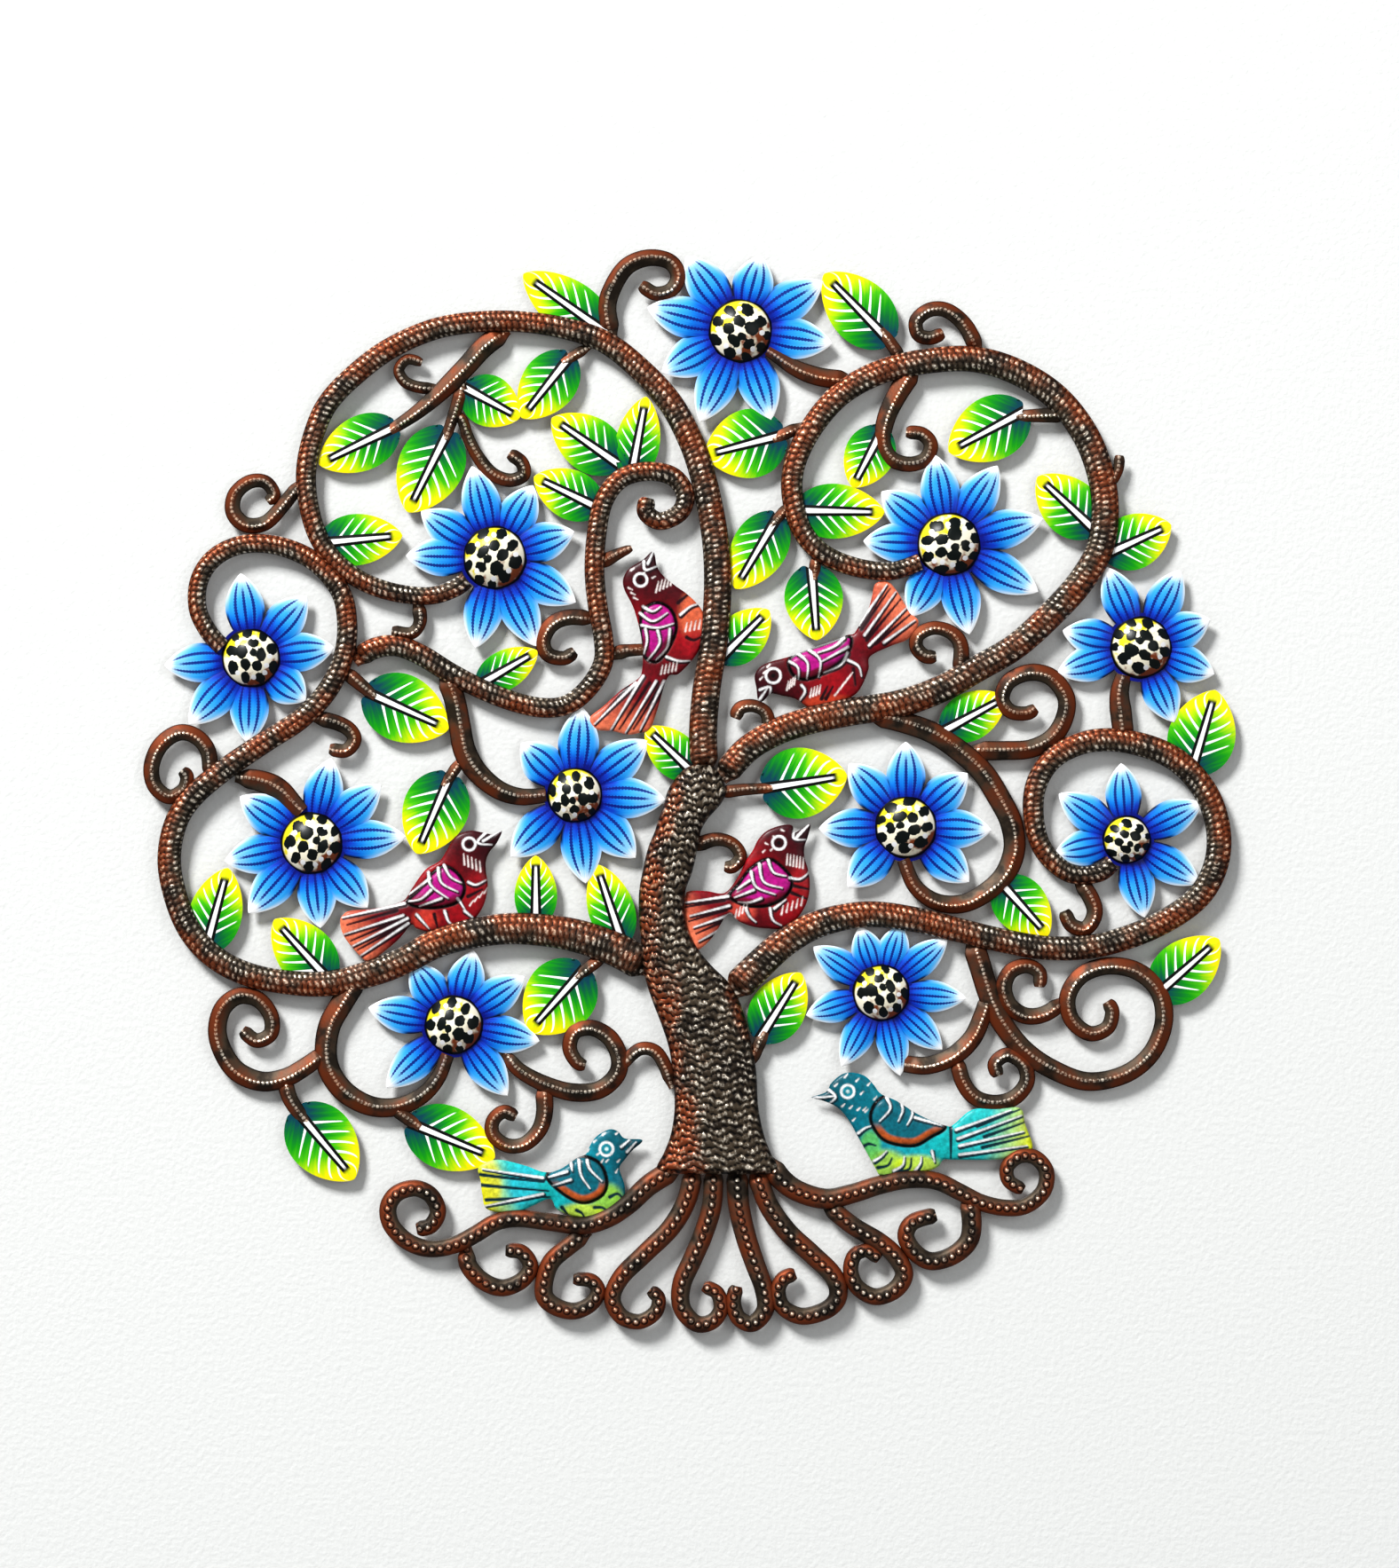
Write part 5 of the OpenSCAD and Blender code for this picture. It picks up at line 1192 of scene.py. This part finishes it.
def petal_enamel(tints):
    """Brushed enamel on sheet steel: deep blue at the dome fading to a white tip, with three
    dark combed veins."""
    made, tree, shader = new_material("petal_brushed_enamel")
    place = node(tree, "TexCoord", out="Object")
    along, across, out_from = sheet_places(tree)
    long = node(tree, "Math", {0: along, 1: 2.5}, operation="MULTIPLY")
    wide = node(tree, "Math", {0: across, 1: 26.0}, operation="MULTIPLY")
    streak = node(tree, "TexNoise", {"Vector": node(tree, "CombineXYZ", {0: long, 1: wide}), "Scale": 1.0,
                                     "Detail": 4.0})
    cloud = node(tree, "TexNoise", {"Vector": place, "Scale": grains_per_metre(13)})
    shade = node(tree, "Math", {0: streak, 1: 0.3, 2: along}, operation="MULTIPLY_ADD")
    shade = node(tree, "Math", {0: cloud, 1: 0.24, 2: shade}, operation="MULTIPLY_ADD")
    shade = node(tree, "Math", {0: shade, 1: 0.27}, operation="SUBTRACT")
    base = node(tree, "ValToRGB", {0: shade}, stops_at=[
        (0.1, tints["petal_deep"]), (0.21, linear("#0840C4")), (0.34, tints["petal"]),
        (0.54, linear("#3CB0F8")), (0.8, linear("#96D6FF")), (0.93, tints["petal_tip"])])
    far = node(tree, "MapRange", {0: along, 1: 0.35, 2: 0.8, 4: 0.8}, **STEP)
    rim = node(tree, "MapRange", {0: out_from, 1: 0.74, 2: 0.98}, **STEP)
    rim = node(tree, "Math", {0: rim, 1: far}, operation="MULTIPLY")
    base = node(tree, "Mix", {0: rim, 6: base, 7: tints["petal_tip"]}, **MIX)
    comb = node(tree, "Math", {0: node(tree, "Math", {0: along, 1: 22.0}, operation="MULTIPLY"), 1: 0.5},
                operation="PINGPONG")
    reach = node(tree, "Math", {0: comb, 1: 0.1, 2: 0.05}, operation="MULTIPLY_ADD")
    for vein, last in ((0.0, 0.82), (VEIN_SHARE, 0.92)):
        gap = node(tree, "Math", {0: out_from, 1: vein}, operation="SUBTRACT")
        gap = node(tree, "Math", {0: gap}, operation="ABSOLUTE")
        line = node(tree, "Math", {0: gap, 1: reach}, operation="LESS_THAN")
        kept = node(tree, "MapRange", {0: along, 1: last, 2: last - 0.14, 4: 0.92}, **STEP)
        line = node(tree, "Math", {0: line, 1: kept}, operation="MULTIPLY")
        base = node(tree, "Mix", {0: line, 6: base, 7: linear("#03107C")}, **MIX)
    # Near-black on a petal's sides near the dome, where the petals meet: black paint in the cleft and painted
    # shade between the petals
    cleft_paint_and_shade = node(tree, "Math", {0: node(tree, "MapRange", {0: out_from, 1: 0.82, 2: 0.96}, **STEP),
                                1: node(tree, "MapRange", {0: along, 1: 0.46, 2: 0.32}, **STEP)},
                 operation="MULTIPLY")
    base = node(tree, "Mix", {0: cleft_paint_and_shade, 6: base, 7: linear("#020830")}, **MIX)
    lacquered(tree, shader, base, place)
    return made


def leaf_enamel(tints):
    """Brushed enamel on sheet steel: teal lobes running through green to a yellow tip, a white
    midrib edged in black, and white side strokes."""
    made, tree, shader = new_material("leaf_brushed_enamel")
    place = node(tree, "TexCoord", out="Object")
    along, across, out_from = sheet_places(tree)
    off = node(tree, "Attribute", out="Fac", attribute_name="across")
    off = node(tree, "Math", {0: off}, operation="ABSOLUTE")
    swept = node(tree, "Math", {0: out_from, 1: -STROKE_SLANT, 2: along}, operation="MULTIPLY_ADD")
    long = node(tree, "Math", {0: swept, 1: 22.0}, operation="MULTIPLY")
    wide = node(tree, "Math", {0: across, 1: 2.0}, operation="MULTIPLY")
    streak = node(tree, "TexNoise", {"Vector": node(tree, "CombineXYZ", {0: long, 1: wide}), "Scale": 1.0,
                                     "Detail": 4.0})
    shade = node(tree, "Math", {0: along, 1: 0.85, 2: -0.15}, operation="MULTIPLY_ADD")
    for value, much in ((out_from, 0.2), (streak, 0.3)):
        shade = node(tree, "Math", {0: value, 1: much, 2: shade}, operation="MULTIPLY_ADD")
    base = node(tree, "ValToRGB", {0: shade}, stops_at=[
        (0.14, tints["leaf_base"]), (0.26, linear("#007438")), (0.38, tints["leaf"]),
        (0.54, linear("#50C80A")), (0.68, linear("#C0EA00")), (0.82, tints["leaf_tip"])])
    beat = node(tree, "Math", {0: node(tree, "Math", {0: swept, 1: LEAF_STROKES}, operation="MULTIPLY"),
                               1: 0.5}, operation="PINGPONG")
    stroke = node(tree, "Math", {0: beat, 1: node(tree, "Math", {0: out_from, 1: -0.13, 2: 0.17},
                                                  operation="MULTIPLY_ADD")}, operation="LESS_THAN")
    for value, start, end in ((out_from, 0.12, 0.2), (out_from, 0.88, 0.78), (swept, 0.02, 0.06),
                              (swept, 0.76, 0.7)):
        part = node(tree, "MapRange", {0: value, 1: start, 2: end}, **STEP)
        stroke = node(tree, "Math", {0: stroke, 1: part}, operation="MULTIPLY")
    base = node(tree, "Mix", {0: stroke, 6: base, 7: linear("#FFFFFF")}, **MIX)
    rib = node(tree, "Math", {0: along, 1: -1.0, 2: 1.55}, operation="MULTIPLY_ADD")
    for wider, last, code in ((1.7, 0.9, "#050706"), (0.0, 0.86, "#FFFFFF")):
        edge = node(tree, "Math", {0: rib, 1: wider}, operation="ADD")
        line = node(tree, "Math", {0: off, 1: edge}, operation="LESS_THAN")
        kept = node(tree, "MapRange", {0: along, 1: last, 2: last - 0.06}, **STEP)
        line = node(tree, "Math", {0: line, 1: kept}, operation="MULTIPLY")
        base = node(tree, "Mix", {0: line, 6: base, 7: linear(code)}, **MIX)
    lacquered(tree, shader, base, place)
    return made


def dome_enamel(tints):
    """Dabbed enamel on a pressed button: cream ground with black blotches and white dots, painted
    shade in copper-brown on its lower right, a painted yellow highlight on its upper left, and a
    black rim."""
    made, tree, shader = new_material("flower_centre_dabbed_enamel")
    place = node(tree, "TexCoord", out="Object")
    spot, dot, lean, edge = (node(tree, "Attribute", out="Fac", attribute_name=name)
                             for name in ("spot", "dot", "lean", "edge"))
    rag, cloud = (node(tree, "TexNoise", {"Vector": place, "Scale": grains_per_metre(across)})
                  for across in (2.4, 6))
    lean = node(tree, "Math", {0: cloud, 1: 2.2, 2: lean}, operation="MULTIPLY_ADD")
    spot = node(tree, "Math", {0: rag, 1: 0.7, 2: spot}, operation="MULTIPLY_ADD")
    dot = node(tree, "Math", {0: rag, 1: 0.45, 2: dot}, operation="MULTIPLY_ADD")
    base = tints["cream"]
    # A painted yellow highlight on the upper left and painted copper-brown shade on the lower right, then the
    # blotches, dots and rim
    for value, start, end, code in ((lean, 1.3, 1.75, "#E8D820"), (lean, 0.75, 0.3, "#8A4420"),
                                    (spot, 0.08, 0.16, "#06100E"), (dot, 0.24, 0.38, "#FFFFFF"),
                                    (edge, 0.87, 0.92, "#040404")):
        share = node(tree, "MapRange", {0: value, 1: start, 2: end}, **STEP)
        base = node(tree, "Mix", {0: share, 6: base, 7: linear(code)}, **MIX)
    raised = node(tree, "MapRange", {0: spot, 1: 0.2, 2: 0.6, 4: 1.5}, **STEP)
    lacquered(tree, shader, base, place, raised)
    return made


def feather_enamel():
    """Brushed enamel on a pressed bird: its colours and strokes are laid on the sheet, and fine
    combed lines give the feathers."""
    made, tree, shader = new_material("bird_brushed_enamel")
    place = node(tree, "TexCoord", out="Object")
    paint = node(tree, "Attribute", out="Color", attribute_name="paint")
    comb = node(tree, "TexNoise", {"Vector": place, "Scale": grains_per_metre(2.2), "Detail": 4.0})
    shade = node(tree, "MapRange", {0: comb, 1: 0.3, 2: 0.7, 3: 0.66, 4: 1.16})
    base = node(tree, "VectorMath", {0: paint, "Scale": shade}, operation="SCALE")
    lacquered(tree, shader, base, place)
    return made


def plaster(tint):
    """Fine sanded plaster, painted off-white. It can't be seen from behind."""
    made, tree, shader = new_material("wall_sanded_plaster")
    place = node(tree, "TexCoord", out="Object")
    sand = node(tree, "TexNoise", {"Vector": place, "Scale": grains_per_metre(3), "Detail": 6.0})
    shade = node(tree, "MapRange", {0: sand, 3: 0.94, 4: 1.03})
    base = node(tree, "VectorMath", {0: tint[:3], "Scale": shade}, operation="SCALE")
    bump = node(tree, "Bump", {"Height": sand, "Strength": 0.5, "Distance": 0.8 * MM})
    tree.links.new(base, shader.inputs["Base Color"])
    tree.links.new(bump, shader.inputs["Normal"])
    shader.inputs["Roughness"].default_value = 0.9
    back = node(tree, "NewGeometry", out="Backfacing")
    shown = node(tree, "MixShader", {0: back, 1: shader.outputs[0], 2: node(tree, "BsdfTransparent")})
    tree.links.new(shown, tree.nodes["Material Output"].inputs["Surface"])
    return made


# ---------- the pieces ----------

class TREE_OT_trunk(bpy.types.Operator):
    """Beat out the trunk"""
    bl_idname = "tree.trunk"
    bl_label = "Trunk"

    def execute(self, context):
        shell = Shell()
        add_trunk(shell, sizes())
        finish = hammered_steel("trunk_beaded_steel", colours(), gloss=0.32)
        place_piece(shell.piece("trunk_beaded"), "trunk", finish)
        return {"FINISHED"}


def strip_pieces(table, family, finish):
    """Presses every strip of a table, one piece for each node."""
    size = sizes()
    for node_name, strips in table.items():
        shell = Shell()
        low = 1 if family != "vine" and node_name not in LOW_STARTS else 0
        for points, shares, end, *meets in strips:
            add_strip(shell, size, family, points, shares, end, low, meets[0] if meets else None)
        place_piece(shell.piece(node_name + "_pressed"), node_name, finish)


class TREE_OT_limbs(bpy.types.Operator):
    """Press the five scaled limbs"""
    bl_idname = "tree.limbs"
    bl_label = "Limbs"

    def execute(self, context):
        strip_pieces(LIMBS, "limb", hammered_steel("limb_scaled_steel", colours()))
        return {"FINISHED"}


class TREE_OT_roots(bpy.types.Operator):
    """Press the ten beaded roots"""
    bl_idname = "tree.roots"
    bl_label = "Roots"

    def execute(self, context):
        strip_pieces(ROOTS, "root", hammered_steel("root_beaded_steel", colours(), 0.4))
        return {"FINISHED"}


class TREE_OT_vines(bpy.types.Operator):
    """Press the ridged vines, scrolls and twigs"""
    bl_idname = "tree.vines"
    bl_label = "Vines"

    def execute(self, context):
        strip_pieces(VINES, "vine", hammered_steel("vine_ridged_steel", colours(), 0.4))
        return {"FINISHED"}


class TREE_OT_flowers(bpy.types.Operator):
    """Cut and dish the petals, and press the domed centres"""
    bl_idname = "tree.flowers"
    bl_label = "Flowers"

    def execute(self, context):
        size = sizes()
        petal_paint = petal_enamel(colours())
        dome_paint = dome_enamel(colours())
        for number, flower in enumerate(FLOWERS, 1):
            shell = Shell()
            for i, (angle, reach) in enumerate(sorted(flower[4])):
                add_petal(shell, size, flower, angle, reach, i % 2)
            add_collar(shell, size, flower)
            petals = shell.piece(f"petals_{number}_painted", closed=False)
            press(petals, PLATE_SHEET)
            place_piece(petals, f"petals_{number}", petal_paint)
            place_piece(make_dome(size, number, flower), f"dome_{number}", dome_paint)
        return {"FINISHED"}


class TREE_OT_leaves(bpy.types.Operator):
    """Cut and rib the leaves"""
    bl_idname = "tree.leaves"
    bl_label = "Leaves"

    def execute(self, context):
        size = sizes()
        paint = leaf_enamel(colours())
        for node_name, group in LEAVES.items():
            shell = Shell()
            for base, point, wide in group:
                add_leaf(shell, size, base, point, wide)
            leaves = shell.piece(node_name + "_painted", closed=False)
            press(leaves, PLATE_SHEET)
            place_piece(leaves, node_name, paint)
        return {"FINISHED"}


class TREE_OT_birds(bpy.types.Operator):
    """Press and paint the six birds"""
    bl_idname = "tree.birds"
    bl_label = "Birds"

    def execute(self, context):
        size = sizes()
        paint = feather_enamel()
        for node_name, bird in BIRDS.items():
            shell = Shell()
            add_bird(shell, size, bird)
            piece = shell.piece(node_name + "_painted", closed=False)
            press(piece, BIRD_SHEET)
            place_piece(piece, node_name, paint)
        return {"FINISHED"}


class TREE_OT_stage(bpy.types.Operator):
    """Set up the wall, the lights and the camera"""
    bl_idname = "tree.stage"
    bl_label = "Wall, lights and camera"

    def execute(self, context):
        scene = context.scene
        middle = Vector((4 * MM, 0, 11.25 * MM))
        bpy.ops.object.select_all(action="DESELECT")
        bpy.ops.mesh.primitive_plane_add(size=6, location=(middle.x, WALL_GAP * MM, middle.z),
                                         rotation=(math.pi / 2, 0, 0))
        wall = context.active_object
        wall.name = "wall"
        bpy.ops.object.transform_apply(location=False, rotation=True, scale=False)
        wall.data.materials.append(plaster(colours()["wall"]))
        wall.visible_shadow = wall.visible_diffuse = False
        wall.visible_glossy = wall.visible_transmission = False

        world = bpy.data.worlds.new("studio")
        world.use_nodes = True
        world.node_tree.nodes["Background"].inputs[0].default_value = linear("#F4F6F8")
        world.node_tree.nodes["Background"].inputs[1].default_value = WORLD_LIGHT
        scene.world = world
        for name, place, across, power in LIGHTS:
            lamp = bpy.data.lights.new(name, "AREA")
            lamp.size = across
            lamp.energy = power
            stand = bpy.data.objects.new(name, lamp)
            stand.location = place
            stand.rotation_euler = (middle - stand.location).to_track_quat("-Z", "Y").to_euler()
            scene.collection.objects.link(stand)

        lens = bpy.data.cameras.new("camera")
        lens.sensor_width = 36
        lens.lens = lens.sensor_width * CAMERA_DISTANCE / VIEW_HEIGHT
        camera = bpy.data.objects.new("camera", lens)
        camera.location = middle - Vector((0, CAMERA_DISTANCE, 0))
        camera.rotation_euler = (math.pi / 2, 0, 0)
        scene.collection.objects.link(camera)
        scene.camera = camera
        scene.view_settings.view_transform = "Standard"
        scene.view_settings.look = "Medium High Contrast"
        return {"FINISHED"}


# Wall behind the tree's back in millimetres; camera distance and height of the view in metres
WALL_GAP = 5
CAMERA_DISTANCE = 3.0
VIEW_HEIGHT = 0.8835
WORLD_LIGHT = 0.3
# Soft boxes: name, place, size in metres, power
LIGHTS = (
    ("key", (-3.0, -3.9, 4.6), 1.7, 520),
    ("fill", (1.8, -2.6, 0.6), 1.6, 12),
    ("rim", (-0.6, 1.8, 1.6), 1.4, 22),
)

STEPS = ("stage", "trunk", "limbs", "roots", "vines", "flowers", "leaves", "birds")


class TREE_PT_panel(bpy.types.Panel):
    """Sizes, colours and the steps of the tree"""
    bl_idname = "TREE_PT_panel"
    bl_label = "Tree of Life"
    bl_space_type = "VIEW_3D"
    bl_region_type = "UI"
    bl_category = "Tree of Life"

    def draw(self, context):
        for group, owner in ((TreeSizes, context.scene.tree_sizes),
                             (TreeColours, context.scene.tree_colours)):
            box = self.layout.box()
            for name in group.__annotations__:
                box.prop(owner, name)
        for step in STEPS:
            self.layout.operator("tree." + step)


CLASSES = (TreeSizes, TreeColours, TREE_OT_stage, TREE_OT_trunk, TREE_OT_limbs, TREE_OT_roots,
           TREE_OT_vines, TREE_OT_flowers, TREE_OT_leaves, TREE_OT_birds, TREE_PT_panel)


def register():
    """Registers the panel, the steps and their settings."""
    for item in CLASSES:
        bpy.utils.register_class(item)
    bpy.types.Scene.tree_sizes = bpy.props.PointerProperty(type=TreeSizes)
    bpy.types.Scene.tree_colours = bpy.props.PointerProperty(type=TreeColours)


def unregister():
    """Takes back what register adds."""
    del bpy.types.Scene.tree_colours
    del bpy.types.Scene.tree_sizes
    for item in reversed(CLASSES):
        bpy.utils.unregister_class(item)


def main():
    """Builds the tree step by step."""
    register()
    for step in STEPS:
        getattr(bpy.ops.tree, step)()


if __name__ == "__main__":
    main()
